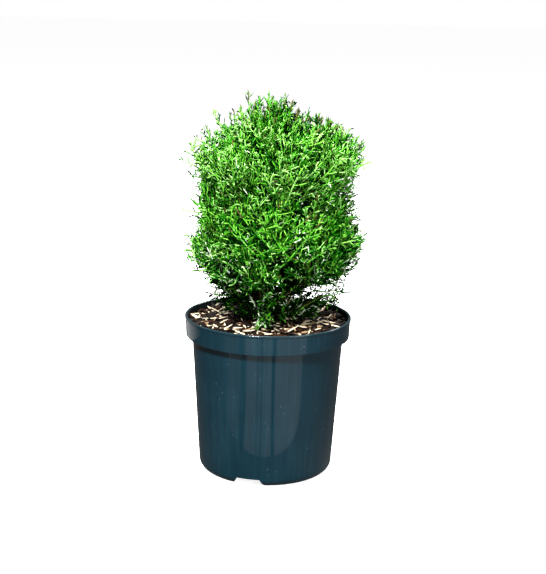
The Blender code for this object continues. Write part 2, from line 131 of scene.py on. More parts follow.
# %% Node helpers
def start_material(name, roughness, specular):
    """A Principled material, its node tree and its shader."""
    made = bpy.data.materials.new(name)
    made.use_nodes = True
    shader = made.node_tree.nodes["Principled BSDF"]
    shader.inputs["Roughness"].default_value = roughness
    shader.inputs["Specular IOR Level"].default_value = specular
    return made, made.node_tree, shader


def add_node(tree, kind, links=(), **values):
    """A node with these values, and links given as (socket name, source output)."""
    made = tree.nodes.new("ShaderNode" + kind)
    for key, value in values.items():
        if key in made.inputs:
            made.inputs[key].default_value = value
        else:
            setattr(made, key, value)
    for socket, source in links:
        tree.links.new(source, made.inputs[socket])
    return made


def calculate(tree, operation, *terms, clamp=False):
    """A Math node on links and plain numbers."""
    made = add_node(tree, "Math", operation=operation, use_clamp=clamp)
    for socket, term in zip(made.inputs, terms):
        if isinstance(term, float):
            socket.default_value = term
        else:
            tree.links.new(term, socket)
    return made.outputs[0]


def mix_colours(tree, factor, first, second):
    """A blend from one colour, given as a link, to a plain second one."""
    links = [("Factor", factor), ("A", first)]
    return add_node(tree, "Mix", links, data_type="RGBA", B=(*second, 1)).outputs["Result"]


def object_space(tree, scale=(1, 1, 1)):
    """Object coordinates through a Mapping node."""
    where = add_node(tree, "TexCoord").outputs["Object"]
    return add_node(tree, "Mapping", [("Vector", where)], Scale=scale).outputs["Vector"]


def noise_of(tree, where, **values):
    """The grey value of a noise at these coordinates."""
    return add_node(tree, "TexNoise", [("Vector", where)], **values).outputs["Fac"]


def ramp(tree, source, stops):
    """A colour ramp with stops of (place, (red, green, blue))."""
    made = add_node(tree, "ValToRGB", [("Fac", source)])
    band = made.color_ramp
    while len(band.elements) < len(stops):
        band.elements.new(0.5)
    for mark, (place, colour) in zip(band.elements, stops):
        mark.position = place
        mark.color = (*colour, 1)
    return made.outputs["Color"]


def set_relief(tree, shader, height, strength, distance):
    """Bump on a shader from a height."""
    relief = add_node(tree, "Bump", [("Height", height)], Strength=strength, Distance=distance)
    tree.links.new(relief.outputs["Normal"], shader.inputs["Normal"])


def linear(red, green, blue):
    """A screen colour, 0 to 255, as the linear values that a shader takes."""
    return tuple(
        value / 12.92 if value <= 0.04045 else ((value + 0.055) / 1.055) ** 2.4
        for value in (red / 255, green / 255, blue / 255)
    )


# %% [markdown]
# Bark, wood, soil and leaves have one thing in common: what is raised also has another colour. So
# they share a finish in which a single noise sets both the colour and the relief. They differ in the
# coordinates that the noise is read in, in its scale, and in the colours.

# %% A grained finish
def grained(name, roughness, specular, place, stops, strength, distance, **values):
    """A finish whose colour and relief follow one noise, read where the function place says."""
    finish, tree, shader = start_material(name, roughness, specular)
    grain = noise_of(tree, place(tree), **values)
    tree.links.new(ramp(tree, grain, stops), shader.inputs["Base Color"])
    set_relief(tree, shader, grain, strength, distance)
    return finish


# %% Piece helpers
def finished_piece(name, data, finish, slot_name, *stands_for):
    """An object at the origin for this mesh, riding on the only body, in place of some solids."""
    made = bpy.data.objects.new(name, data)
    bpy.context.scene.collection.objects.link(made)
    data.materials.append(finish)
    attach(made, "root")
    if stands_for:
        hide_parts(*stands_for)
    return made


def mesh_of(name, shape):
    """The finished bmesh as a mesh."""
    data = bpy.data.meshes.new(name)
    shape.to_mesh(data)
    shape.free()
    return data


class Pile:
    """Gathers the points and triangles of many small shapes for one joined mesh."""

    def __init__(self):
        self.places, self.triangles, self.count = [], [], 0

    def add(self, places, triangles):
        self.triangles.append(triangles + self.count)
        self.places.append(places)
        self.count += len(places)

    def arrays(self):
        return np.vstack(self.places), np.vstack(self.triangles)

    def mesh(self, name):
        """One mesh from the arrays, for shapes that are repeated thousands of times."""
        places, triangles = self.arrays()
        data = bpy.data.meshes.new(name)
        data.vertices.add(len(places))
        data.vertices.foreach_set("co", np.asarray(places, np.float32).ravel())
        data.loops.add(len(triangles) * 3)
        data.loops.foreach_set("vertex_index", np.asarray(triangles, np.int32).ravel())
        data.polygons.add(len(triangles))
        data.polygons.foreach_set("loop_start", np.arange(len(triangles), dtype=np.int32) * 3)
        data.update(calc_edges=True)
        data.validate()
        return data


# %% [markdown]
# ## The studio
#
# A pale floor runs under a plain pale background. The key light stands high on the left and makes the
# highlights and the soft shadows, a weaker one fills from the right, and two more, overhead and
# behind, brighten the crown's edge. The floor and the background look white to the camera but throw
# back much less light, so the gaps inside the crown stay dark and the glossy pot keeps its colour.
#
# A glossy wall needs something to mirror. So the floor has faint grey stripes that run outwards from
# the pot, and two striped cards lie on it. The camera sees only white there, but the pot mirrors
# them: the near card runs up the wall as a pale tongue, and the far one brightens the collar's left.

# %% Paper
PAPER_GLOW = 0.88
CARD_LIFT = 0.0004
CARD_ROUNDING = 0.045
FLOOR_REACH = 60.0
# Stripes as (share of a turn round the pot, tone). A quarter turn lies straight in front.
FLOOR_STRIPES = (
    (0.0, 0.03), (0.03, 0.04), (0.09, 0.055), (0.20, 0.06), (0.36, 0.085), (0.46, 0.07), (0.52, 0.045),
    (0.60, 0.02), (0.94, 0.02), (1.0, 0.03),
)
# Each card: its outline on the floor and its stripes.
CARDS = {
    "card": (
        ((-0.62, -0.80), (0.62, -0.80), (0.62, -0.46), (0.135, -0.132), (-0.075, -0.130),
         (-0.170, -0.115), (-0.62, -0.42)),
        ((0.02, 0.07), (0.100, 0.11), (0.146, 0.11), (0.152, 0.05), (0.170, 0.05), (0.175, 0.195),
         (0.211, 0.195), (0.217, 0.08), (0.2225, 0.18), (0.2285, 0.18), (0.233, 0.0), (0.237, 0.20),
         (0.243, 0.20), (0.2465, 0.11), (0.250, 0.20), (0.268, 0.20), (0.2736, 0.0), (0.2785, 0.05),
         (0.2854, 0.206), (0.40, 0.206)),
    ),
    "side_card": (
        ((-0.26, 0.40), (-0.51, 0.04), (-0.84, 0.08), (-0.42, 0.74)),
        ((0.86, 0.25), (0.92, 0.20), (0.975, 0.028)),
    ),
}


def studio_paper(name, stripes):
    """Paper that is white to the camera and gives grey stripes round the pot to every other ray."""
    paper, tree, shader = start_material(name, 0.9, 0.2)
    seen = add_node(tree, "LightPath").outputs["Is Camera Ray"]
    turn = add_node(tree, "TexGradient", [("Vector", object_space(tree))], gradient_type="RADIAL")
    tones = ramp(tree, turn.outputs["Fac"], [(place, (tone,) * 3) for place, tone in stripes])
    tree.links.new(mix_colours(tree, seen, tones, WHITE), shader.inputs["Base Color"])
    glow = calculate(tree, "MULTIPLY", seen, PAPER_GLOW)
    tree.links.new(glow, shader.inputs["Emission Strength"])
    shader.inputs["Emission Color"].default_value = (*WHITE, 1)
    return paper


# %% Floor and cards
def stage_piece(name, shape, stripes):
    """A piece of the studio, which is not part of the plant."""
    data = mesh_of(name, shape)
    data.materials.append(studio_paper(name + "_paper", stripes))
    made = bpy.data.objects.new(name, data)
    bpy.context.scene.collection.objects.link(made)


def lay_card(name, outline, stripes):
    """A thin card with rounded corners on the floor."""
    shape = bmesh.new()
    rim = [shape.verts.new((x, y, CARD_LIFT)) for x, y in outline]
    shape.faces.new(rim)
    bmesh.ops.bevel(
        shape, geom=rim, affect="VERTICES", offset=CARD_ROUNDING, segments=10, profile=0.5, material=-1
    )
    bmesh.ops.recalc_face_normals(shape, faces=shape.faces)
    stage_piece(name, shape, stripes)


floor_shape = bmesh.new()
bmesh.ops.create_grid(floor_shape, x_segments=2, y_segments=2, size=FLOOR_REACH)
stage_piece("floor", floor_shape, FLOOR_STRIPES)
for name, (outline, stripes) in CARDS.items():
    lay_card(name, outline, stripes)
print("cards:", list(CARDS))

# %% Lights
WORLD_GLOW = 0.10
# Each light: its place, the point it is aimed at, its width and height, and its power in watts.
LIGHTS = {
    "key": ((-0.53, -1.36, 1.68), (0, 0, 0.20), 0.5, 0.3, 136),
    "fill": ((1.40, -1.45, 0.55), (0, 0, 0.15), 1.0, 0.7, 28),
    "top": ((0.1, -0.1, 2.2), (0, 0, 0.2), 1.6, 0.5, 50),
    "back": ((0.35, 1.5, 1.5), (0, 0, 0.25), 1.2, 0.6, 60),
}


def make_world():
    """A background that is white to the eye and dimmer as a light."""
    sky = bpy.data.worlds.new("studio")
    sky.use_nodes = True
    tree = sky.node_tree
    seen = add_node(tree, "LightPath").outputs["Is Camera Ray"]
    glow = add_node(tree, "Mix", [("Factor", seen)], A=WORLD_GLOW, B=1.0)
    tree.links.new(glow.outputs["Result"], tree.nodes["Background"].inputs["Strength"])
    tree.nodes["Background"].inputs["Color"].default_value = (*WHITE, 1)
    bpy.context.scene.world = sky


def make_light(name, place, target, width, height, power):
    """A rectangular area light aimed at a point."""
    lamp = bpy.data.lights.new(name, "AREA")
    lamp.shape = "RECTANGLE"
    lamp.size, lamp.size_y = width, height
    lamp.energy = power
    made = bpy.data.objects.new(name, lamp)
    made.location = place
    made.rotation_euler = (Vector(target) - Vector(place)).to_track_quat("-Z", "Y").to_euler()
    bpy.context.scene.collection.objects.link(made)


make_world()
for name, light in LIGHTS.items():
    make_light(name, *light)
bpy.context.scene.view_settings.view_transform = "Standard"
print("lights:", list(LIGHTS))

# %% [markdown]
# ## The pot
#
# The pot is moulded in one piece: a thin wall that widens upwards, a stepped collar that lets pots
# stack, a rolled lip, and a foot ring with three gaps that let water out. A turned shape like this
# is best drawn once as a half outline and spun. The outline runs from the middle of the floor up the
# inside, over the lip and down the outside, and its rounded corners are arcs. The gaps and the drain
# holes are cut afterwards, because they don't go all the way round.

# %% Sizes of the pot
SEAT = 0.0003
POT_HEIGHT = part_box("pot")[1].z
LIP_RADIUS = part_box("pot")[1].x
WALL = 0.0014
LIP_HEIGHT = 0.0024
COLLAR_HEIGHT = 0.0205
COLLAR_TOP_RADIUS = LIP_RADIUS - 0.0007
COLLAR_FOOT_RADIUS = LIP_RADIUS - 0.0014
BODY_TOP_RADIUS = 0.0772
BODY_FOOT_RADIUS = 0.0690
FOOT_ROUNDING = 0.0082
FOOT_RING_WIDTH = 0.0024
BASE_RECESS = 0.0066
TURN_STEPS = 192
# Extra rings on the long wall, so that smooth shading doesn't bend its mirror images.
WALL_RINGS = (0.1375, 0.1340, 0.110, 0.080, 0.050, 0.020, 0.0095)
print("pot height and radius:", round(POT_HEIGHT, 4), round(LIP_RADIUS, 4))


# %% The pot's outline
def arc(centre, radius, first, last, steps):
    """Points on a round corner, from one angle to another in degrees."""
    corners = []
    for step in range(steps + 1):
        angle = math.radians(first + (last - first) * step / steps)
        corners.append((centre[0] + radius * math.cos(angle), centre[1] + radius * math.sin(angle)))
    return corners


def body_radius(height):
    """The pot's outer radius between its foot and its collar."""
    low, high = FOOT_ROUNDING, POT_HEIGHT - COLLAR_HEIGHT
    return BODY_FOOT_RADIUS + (BODY_TOP_RADIUS - BODY_FOOT_RADIUS) * (height - low) / (high - low)


def pot_outline():
    """Half outline (radius, height) of the pot's wall, in one loop from axis to axis."""
    shelf = POT_HEIGHT - COLLAR_HEIGHT
    plate = BASE_RECESS + WALL
    ring = BODY_FOOT_RADIUS - FOOT_ROUNDING
    under_lip = POT_HEIGHT - LIP_HEIGHT
    # Up the inside: floor, wall and collar.
    line = [(0, plate), (BODY_FOOT_RADIUS - FOOT_ROUNDING * 0.5, plate)]
    line += [(body_radius(0.0135) - WALL, 0.0135), (body_radius(shelf) - WALL, shelf + WALL + 0.0008)]
    line += [(COLLAR_FOOT_RADIUS - WALL, shelf + WALL + 0.0012)]
    # Over the rolled lip.
    line += [(LIP_RADIUS - 0.0027, POT_HEIGHT - 0.0012)]
    line += arc((LIP_RADIUS - 0.0021, POT_HEIGHT - 0.0006), 0.0006, 180, 90, 4)
    line += arc((LIP_RADIUS - 0.0007, POT_HEIGHT - 0.0007), 0.0007, 90, 0, 5)
    line += arc((LIP_RADIUS - 0.0005, under_lip + 0.0006), 0.0005, 0, -80, 3)
    # Down the collar, in under it, and down the wall.
    line += [(COLLAR_TOP_RADIUS, under_lip - 0.0003)]
    line += arc((COLLAR_FOOT_RADIUS - 0.0011, shelf + 0.0011), 0.0011, 0, -90, 6)
    line += [(BODY_TOP_RADIUS + 0.0012, shelf), (BODY_TOP_RADIUS + 0.0006, shelf + 0.0010)]
    line += [(BODY_TOP_RADIUS - 0.0004, shelf + 0.0004), (BODY_TOP_RADIUS, shelf - 0.0012)]
    line += [(body_radius(height), height) for height in WALL_RINGS]
    # Round the foot, up inside its ring and across the underside.
    line += arc((ring, FOOT_ROUNDING), FOOT_ROUNDING, 0, -90, 14)
    line += [(ring - FOOT_RING_WIDTH, 0), (ring - FOOT_RING_WIDTH - 0.0006, BASE_RECESS)]
    return line + [(0, BASE_RECESS)]


# %% Spin the outline
def spun(name, line, steps):
    """A half outline in the XZ plane, spun once round Z, welded and facing outwards."""
    shape = bmesh.new()
    corners = [shape.verts.new((radius, 0, height)) for radius, height in line]
    edges = [shape.edges.new(pair) for pair in zip(corners, corners[1:])]
    bmesh.ops.spin(
        shape, geom=corners + edges, cent=(0, 0, 0), axis=(0, 0, 1), angle=math.tau,
        steps=steps, use_merge=True, use_duplicate=False,
    )
    bmesh.ops.remove_doubles(shape, verts=shape.verts, dist=0.00001)
    bmesh.ops.recalc_face_normals(shape, faces=shape.faces)
    return mesh_of(name, shape)


# %% [markdown]
# The foot's gaps are boxes with slanting ends and the drain holes are short cylinders. A Boolean
# modifier can take a whole collection of cutters at once. It is applied straight away, and the
# cutters are thrown out, so nothing of them stays in the scene.

# %% Gaps and drain holes
NOTCH_COUNT = 3
NOTCH_HEIGHT = 0.0080
NOTCH_MOUTH = 0.0350
NOTCH_TOP = 0.0235
NOTCH_DEPTH = 0.024
NOTCH_MIDDLE = BODY_FOOT_RADIUS - 0.006
FIRST_NOTCH = math.radians(-104)
DRAIN_COUNT = 6
DRAIN_RADIUS = 0.0045
DRAIN_RING_RADIUS = 0.0400


def notch_cutter(number):
    """A box over one gap, wider at its mouth."""
    shape = bmesh.new()
    bmesh.ops.create_cube(shape, size=1)
    for corner in shape.verts:
        above = corner.co.z > 0
        corner.co.x = NOTCH_MIDDLE + corner.co.x * NOTCH_DEPTH
        corner.co.y = math.copysign((NOTCH_TOP if above else NOTCH_MOUTH) / 2, corner.co.y)
        corner.co.z = NOTCH_HEIGHT if above else -0.002
    turn = Matrix.Rotation(FIRST_NOTCH + number * math.tau / NOTCH_COUNT, 3, "Z")
    bmesh.ops.rotate(shape, verts=shape.verts, matrix=turn)
    return shape


def drain_cutter(number):
    """A cylinder through the floor."""
    shape = bmesh.new()
    bmesh.ops.create_cone(
        shape, cap_ends=True, segments=28, radius1=DRAIN_RADIUS, radius2=DRAIN_RADIUS, depth=WALL * 4
    )
    angle = FIRST_NOTCH + (number + 0.5) * math.tau / DRAIN_COUNT
    place = Vector((math.cos(angle), math.sin(angle), 0)) * DRAIN_RING_RADIUS
    bmesh.ops.translate(shape, verts=shape.verts, vec=place + UP * (BASE_RECESS + WALL / 2))
    return shape


def cut_gaps(wall):
    """Takes the foot gaps and the drain holes out of the spun wall."""
    shapes = [notch_cutter(number) for number in range(NOTCH_COUNT)]
    shapes += [drain_cutter(number) for number in range(DRAIN_COUNT)]
    cutters = bpy.data.collections.new("cutters")
    bpy.context.scene.collection.children.link(cutters)
    for shape in shapes:
        cutters.objects.link(bpy.data.objects.new("cutter", mesh_of("cutter", shape)))
    step = wall.modifiers.new("gaps", "BOOLEAN")
    step.operation, step.operand_type, step.collection = "DIFFERENCE", "COLLECTION", cutters
    step.solver = "EXACT"
    graph = bpy.context.evaluated_depsgraph_get()
    wall.data = bpy.data.meshes.new_from_object(wall.evaluated_get(graph))
    wall.modifiers.clear()
    for used in list(cutters.objects):
        bpy.data.objects.remove(used)
    bpy.data.collections.remove(cutters)


# %% [markdown]
# ### Moulded plastic
#
# The plastic is a dark blue-green with a clear gloss. Up close it is never quite even: flow marks run
# up the wall, handling leaves dull patches, and grit leaves a few pale specks. The flow marks are a
# noise stretched along the pot's height. They change the roughness as well as the colour, because a
# worn plastic loses gloss before it loses pigment. The lip's very edge is painted a little paler, partly
# as rubbing and partly as the highlight that the rolled lip catches.

# %% Pot plastic
def pot_plastic():
    """Dark blue-green moulded plastic with flow marks, dull patches and specks of grit."""
    finish, tree, shader = start_material("pot_plastic", 0.12, 0.40)
    streaks = noise_of(tree, object_space(tree, (260, 260, 7)), Scale=1.0, Detail=4.0)
    patches = noise_of(tree, object_space(tree), Scale=28.0, Detail=6.0)
    uneven = calculate(tree, "MULTIPLY", calculate(tree, "ADD", streaks, patches), 0.5)
    body = ramp(
        tree, uneven, [(0.34, linear(3, 30, 39)), (0.52, linear(6, 35, 45)), (0.68, linear(11, 41, 51))]
    )
    grit = add_node(
        tree, "TexVoronoi", [("Vector", object_space(tree))], Scale=230.0, Randomness=1.0
    )
    speck = ramp(tree, grit.outputs["Distance"], [(0.045, WHITE), (0.10, BLACK)])
    sparse = noise_of(tree, object_space(tree), Scale=55.0, Detail=2.0)
    where = ramp(tree, sparse, [(0.56, BLACK), (0.66, WHITE)])
    mask = calculate(tree, "MULTIPLY", speck, where, clamp=True)
    gritty = mix_colours(tree, mask, body, linear(120, 138, 138))
    height = add_node(tree, "SeparateXYZ", [("Vector", object_space(tree))]).outputs["Z"]
    # Painted highlight: a thin band at the top of the lip is mixed paler, partly as rubbed wear and partly
    # as the highlight that the rolled lip catches.
    edge = add_node(tree, "MapRange", [("Value", height)], interpolation_type="SMOOTHSTEP")
    edge.inputs["From Min"].default_value = POT_HEIGHT - 0.0004
    edge.inputs["From Max"].default_value = POT_HEIGHT - 0.0001
    worn_and_highlit = mix_colours(tree, edge.outputs["Result"], gritty, linear(38, 52, 56))
    tree.links.new(worn_and_highlit, shader.inputs["Base Color"])
    gloss = ramp(tree, uneven, [(0.35, (0.03,) * 3), (0.66, (0.09,) * 3)])
    tree.links.new(gloss, shader.inputs["Roughness"])
    set_relief(tree, shader, streaks, 0.06, 0.0004)
    return finish


def crumbly(name, dark, light, scale, grain):
    """A rough granular finish between two browns."""
    stops = [(0.35, dark), (0.7, light)]
    return grained(
        name, 0.95, 0.15, object_space, stops, 0.8, grain, Scale=scale, Detail=8.0, Roughness=0.7
    )


# %% Make the pot
MULCH_TOP = 0.1530
INNER_FACES = LIP_RADIUS - 0.0021
SHADED_BAND_HEIGHTS = (MULCH_TOP - 0.004, POT_HEIGHT - 0.0007)


def make_pot():
    """The pot's wall as one closed shell, with a darker rough band inside above the mulch: painted shade.
    """
    shell = spun("pot_shell", pot_outline(), TURN_STEPS)
    pot = finished_piece("pot_shell", shell, pot_plastic(), "pot_plastic", "pot")
    cut_gaps(pot)
    # Painted shade: the inside of the wall just above the mulch gets a darker, rougher finish.
    pot.data.materials.append(crumbly("shaded_inner_band", linear(3, 10, 12), linear(12, 26, 30), 160.0, 0.0002))
    for face in pot.data.polygons:
        inner = math.hypot(face.center.x, face.center.y) < INNER_FACES
        face.material_index = int(inner and SHADED_BAND_HEIGHTS[0] < face.center.z < SHADED_BAND_HEIGHTS[1])
    pot.data.shade_smooth()
    pot.data.set_sharp_from_angle(angle=math.radians(30))
    return pot


pot = make_pot()
print("pot faces:", len(pot.data.polygons))

# %% [markdown]
# ## Growing mix and mulch
#
# The mix fills the pot and shows only through the drain holes, so its solid stays and gets a crumbly
# dark finish. The mulch on top is what the eye meets: long pale slivers of wood, brown shreds and
# dark nuggets of bark, thrown on in no order. A noise texture on a flat disc would look printed, so
# the bed is a rough dark ground and every sliver is a little shape of its own. They are dealt into
# four colours and joined, each colour in one piece.

# %% Growing mix
mix = frame["nodes"]["growing_mix"]
mix.data.materials.clear()
mix.data.materials.append(crumbly("growing_mix", linear(24, 17, 12), linear(70, 50, 36), 260.0, 0.0012))

# %% Mulch bed
BED_RADIUS = COLLAR_FOOT_RADIUS - WALL - SEAT
BED_STEPS = 96
BED_RINGS = 30
BED_THICKNESS = 0.003
BED_LUMP = 0.0016
LUMPS_PER_METRE = 110


def bed_height(x, y):
    """The uneven top of the bed, a little higher round the trunk."""
    lump = noise.fractal(Vector((x, y, 0)) * LUMPS_PER_METRE, 1.0, 2.0, 3)
    rise = 0.0010 * max(0.0, 1 - math.hypot(x, y) / 0.05)
    return MULCH_TOP - 0.0008 + rise + BED_LUMP * lump


def make_bed():
    """A lumpy dark disc with a skirt down its edge, spun from a straight line and then shaped."""
    line = [(0, MULCH_TOP - BED_THICKNESS), (BED_RADIUS, MULCH_TOP - BED_THICKNESS)]
    line += [(BED_RADIUS * step / BED_RINGS, MULCH_TOP) for step in range(BED_RINGS, -1, -1)]
    data = spun("mulch_bed", line, BED_STEPS)
    for corner in data.vertices:
        if corner.co.z > MULCH_TOP - 0.001:
            corner.co.z = bed_height(corner.co.x, corner.co.y)
    data.shade_smooth()
    ground = crumbly("mulch_ground", linear(3, 2, 2), linear(30, 18, 12), 420.0, 0.0010)
    return finished_piece("mulch_bed", data, ground, "bark_mulch", "bark_mulch")


bed = make_bed()
print("bed faces:", len(bed.data.polygons))

# %% [markdown]
# ### Slivers and nuggets
#
# A sliver is a few rings of four corners: pinched at its ends, ragged along its edges and slightly
# bowed. Each is turned, tipped and dropped on the bed, and those that would stick through the wall
# are pushed in. Fresh slivers are cream, and older ones weather to tan, brown and almost black. The
# grain has to follow each sliver, whichever way it lies, so the slivers carry a UV map whose first
# coordinate runs along the wood. A noise read through that map, and squeezed across the wood, makes
# the fibres.

# %% Sliver sizes and finish
MULCH_SEED = 41
SLIVER_RINGS = 4
SLIVER_RING = np.array([(1, 1), (-1, 1), (-1, -1), (1, -1)]) * 0.5
# Each kind: how many, ranges of length, width and thickness, how high it may lie, and its tip.
SLIVERS = {
    "cream": (165, (0.010, 0.030), (0.0009, 0.0027), (0.0006, 0.0012), 0.0036, 0.42),
    "tan": (100, (0.008, 0.020), (0.0011, 0.0036), (0.0007, 0.0014), 0.0026, 0.34),
    "brown": (230, (0.006, 0.018), (0.0014, 0.0048), (0.0009, 0.0020), 0.0030, 0.36),
    "dark": (330, (0.005, 0.015), (0.0030, 0.0080), (0.0012, 0.0028), 0.0026, 0.38),
}
WOOD_TONES = {
    "cream": (linear(196, 168, 124), linear(255, 244, 216)),
    "tan": (linear(84, 60, 40), linear(178, 148, 110)),
    "brown": (linear(20, 11, 7), linear(66, 38, 23)),
    "dark": (linear(4, 3, 2), linear(26, 15, 10)),
}


def along_grain(tree):
    """The UV map that follows the wood."""
    return add_node(tree, "UVMap", uv_map="grain").outputs["UV"]


def split_wood(kind):
    """Fibrous wood between two tones."""
    stops = list(zip((0.30, 0.62), WOOD_TONES[kind]))
    return grained(
        "mulch_" + kind, 0.8, 0.12, along_grain, stops, 0.5, 0.0005, Scale=1.6, Detail=5.0, Roughness=0.65
    )


def sliver_faces():
    """Triangles between the rings of one sliver, and over its two ends."""
    last = (SLIVER_RINGS - 1) * 4
    faces = [(0, 1, 2), (0, 2, 3)]
    for step, k in itertools.product(range(SLIVER_RINGS - 1), range(4)):
        a, b = step * 4 + k, step * 4 + (k + 1) % 4
        faces += [(a, a + 4, b + 4), (a, b + 4, b)]
    return np.array(faces + [(last, last + 2, last + 1), (last, last + 3, last + 2)])


# %% Scatter the slivers
def sliver_corners(length, width, depth, chance):
    """Corners of one sliver that lies along X."""
    bow = chance.uniform(-0.10, 0.10)
    corners = []
    for step in range(SLIVER_RINGS):
        share = step / (SLIVER_RINGS - 1)
        pinch = 1 - 0.75 * abs(2 * share - 1) ** chance.uniform(2, 5)
        for across, up in SLIVER_RING:
            ragged = 1 + chance.uniform(-0.22, 0.22)
            corners.append((
                length * (share - 0.5) + chance.uniform(-0.04, 0.04) * length,
                width * across * pinch * ragged,
                depth * up * pinch + length * bow * (0.25 - (share - 0.5) ** 2),
            ))
    return corners


def scatter_slivers(kind, chance):
    """All slivers of one colour in a pile, with a grain coordinate for every corner."""
    count, lengths, widths, depths, pile_up, tip = SLIVERS[kind]
    pile, grain = Pile(), []
    faces = sliver_faces()
    for number in range(count):
        length, width = chance.uniform(*lengths), chance.uniform(*widths)
        depth = chance.uniform(*depths)
        reach = math.sqrt(chance.uniform(0.018, 1.0)) * (BED_RADIUS - 0.0022)
        around = chance.uniform(0, math.tau)
        x, y = reach * math.cos(around), reach * math.sin(around)
        turn = Matrix.Rotation(chance.uniform(0, math.tau), 3, "Z")
        turn = turn @ Matrix.Rotation(chance.gauss(0, tip * 0.6), 3, "Y")
        turn = turn @ Matrix.Rotation(chance.gauss(0, 0.5), 3, "X")
        corners = sliver_corners(length, width, depth, chance)
        lift = bed_height(x, y) + depth * 0.5 + chance.uniform(0.0, pile_up)
        moved = np.array([(x + c.x, y + c.y, lift + c.z) for c in (turn @ Vector(c) for c in corners)])
        over = np.hypot(moved[:, 0], moved[:, 1]).max()
        if over > BED_RADIUS - 0.0005:
            moved[:, :2] *= (BED_RADIUS - 0.0005) / over
        pile.add(moved, faces)
        grain += [(c[0] * 60 + number * 3.7, c[1] * 900) for c in corners]
    return pile, np.array(grain)


for kind in SLIVERS:
    pile, grain = scatter_slivers(kind, random.Random(f"{MULCH_SEED} {kind}"))
    data = pile.mesh("mulch_" + kind)
    order = np.empty(len(data.loops), np.int32)
    data.loops.foreach_get("vertex_index", order)
    data.uv_layers.new(name="grain").data.foreach_set("uv", grain[order].astype(np.float32).ravel())
    finished_piece("mulch_" + kind, data, split_wood(kind), "bark_mulch", "bark_mulch")
    print("mulch", kind, len(data.polygons), "triangles")

# %% [markdown]
# ## The plan of the crown
#
# A thuja keeps one straight trunk, and boughs leave it in loose tiers, low ones flat and high ones
# steep. Each bough ends in a stem with a mass of fans. The plan below is the one that the solids
# follow: the same sizes, the same seed and the same draws, so the finer growth hangs on the same
# limbs and reaches the same tips. Repeating the rule costs fewer lines than storing its results, and
# it can be changed.

# %% Sizes of trunk and crown
SEED = 20
MIX_TOP = 0.1490
TRUNK_TOP = 0.308
TRUNK_LEAN = Vector((0.0010, 0.0020, 0))
FLARE_RADIUS = 0.0082
FLARE_HEIGHT = 0.0090
TRUNK_FOOT_RADIUS = 0.0052
TRUNK_TIP_RADIUS = 0.0012
CROWN_TOP = 0.386
LEADER_TIP = Vector((-0.0090, 0.0020, CROWN_TOP))
# The crown's outline as (height, radius).
CROWN_OUTLINE = (
    (0.158, 0.046), (0.170, 0.067), (0.196, 0.073), (0.215, 0.081), (0.234, 0.0905),
    (0.255, 0.083), (0.280, 0.082), (0.305, 0.084), (0.322, 0.0905), (0.338, 0.087),
    (0.347, 0.077), (0.356, 0.062), (0.368, 0.048), (0.378, 0.034), (CROWN_TOP, 0.016),
)
CROWN_SHIFT = Vector((0.0020, 0.0, 0.0))
LOWEST_LEAF = 0.1585
RIM_CLEARANCE = 0.0650
LOWEST_LEAF_OVER_RIM = 0.1635
# Each tier: name, masses, fans in each here, first azimuth in degrees, foot heights on the trunk,
# height of the tips, angle at which a limb leaves the trunk, and the bough's share of the way.
TIERS = (
    ("skirt", 6, 8, 264, (0.159, 0.165), 0.176, 5, 0.0),
    ("low", 7, 37, 258, (0.171, 0.181), 0.231, 12, 0.40),
    ("mid", 7, 42, 270, (0.189, 0.203), 0.280, 28, 0.42),
    ("high", 7, 45, 283, (0.212, 0.228), 0.328, 42, 0.44),
    ("top", 3, 46, 262, (0.258, 0.270), 0.371, 55, 0.44),
)
LEADER_FANS = 38
BOUGH_FOOT_RADIUS = 0.0021
BOUGH_TIP_RADIUS = 0.0011
BOUGH_STEPS = 3
STEM_RADIUS = (0.0011, 0.0007)
SPRAY_LENGTH = 0.056
SHORTEST_STEM = 0.010


# %% Trunk and crown rules
def trunk_radius(height):
    """The trunk's radius, with the flare at its root."""
    share = (height - MIX_TOP) / (TRUNK_TOP - MIX_TOP)
    plain = TRUNK_FOOT_RADIUS + (TRUNK_TIP_RADIUS - TRUNK_FOOT_RADIUS) * share
    flare = max(0.0, 1 - (height - MIX_TOP) / FLARE_HEIGHT)
    return plain + (FLARE_RADIUS - TRUNK_FOOT_RADIUS) * flare**2


def trunk_point(height):
    """The trunk's centre line: upright at the ground, then leaning with a slight curve."""
    share = max(0.0, (height - MIX_TOP) / (TRUNK_TOP - MIX_TOP))
    return TRUNK_LEAN * share**1.4 + UP * height


def crown_radius(height):
    """How far the crown reaches from its axis at a height, or at an array of heights."""
    return np.interp(height, *zip(*CROWN_OUTLINE))


def crown_point(azimuth, height):
    """A point on the crown's outer surface."""
    out = Vector((math.cos(azimuth), math.sin(azimuth), 0))
    return CROWN_SHIFT + out * float(crown_radius(height)) + UP * height


def limb_start(azimuth, leave, height, radius):
    """Where a limb's end sits against the trunk, and the way it leaves."""
    level = math.cos(leave)
    way = Vector((math.cos(azimuth) * level, math.sin(azimuth) * level, math.sin(leave)))
    clear = trunk_radius(height) + SEAT + radius * math.sin(leave)
    return trunk_point(height) + way * (clear / level), way


def bent_course(start, way, end):
    """A limb that leaves one way and bends evenly to its end."""
    knee = start + way * (end - start).length * 0.5
    points = []
    for step in range(BOUGH_STEPS + 1):
        t = step / BOUGH_STEPS
        points.append(start * (1 - t) ** 2 + knee * 2 * t * (1 - t) + end * t**2)
    return points


# %% Plan the masses
class Mass:
    """One mass of foliage: its bough, its stem's two ends and the seed of its space."""

    def __init__(self, name, fans, bough, start, target):
        self.name, self.fans, self.bough = name, fans, bough
        self.start, self.target = start, target
        self.way = (target - start).normalized()
        reach = (target - start).length
        self.stem_end = start + self.way * max(SHORTEST_STEM, reach - SPRAY_LENGTH * 0.55)
        self.seed = start.lerp(target, 0.60)


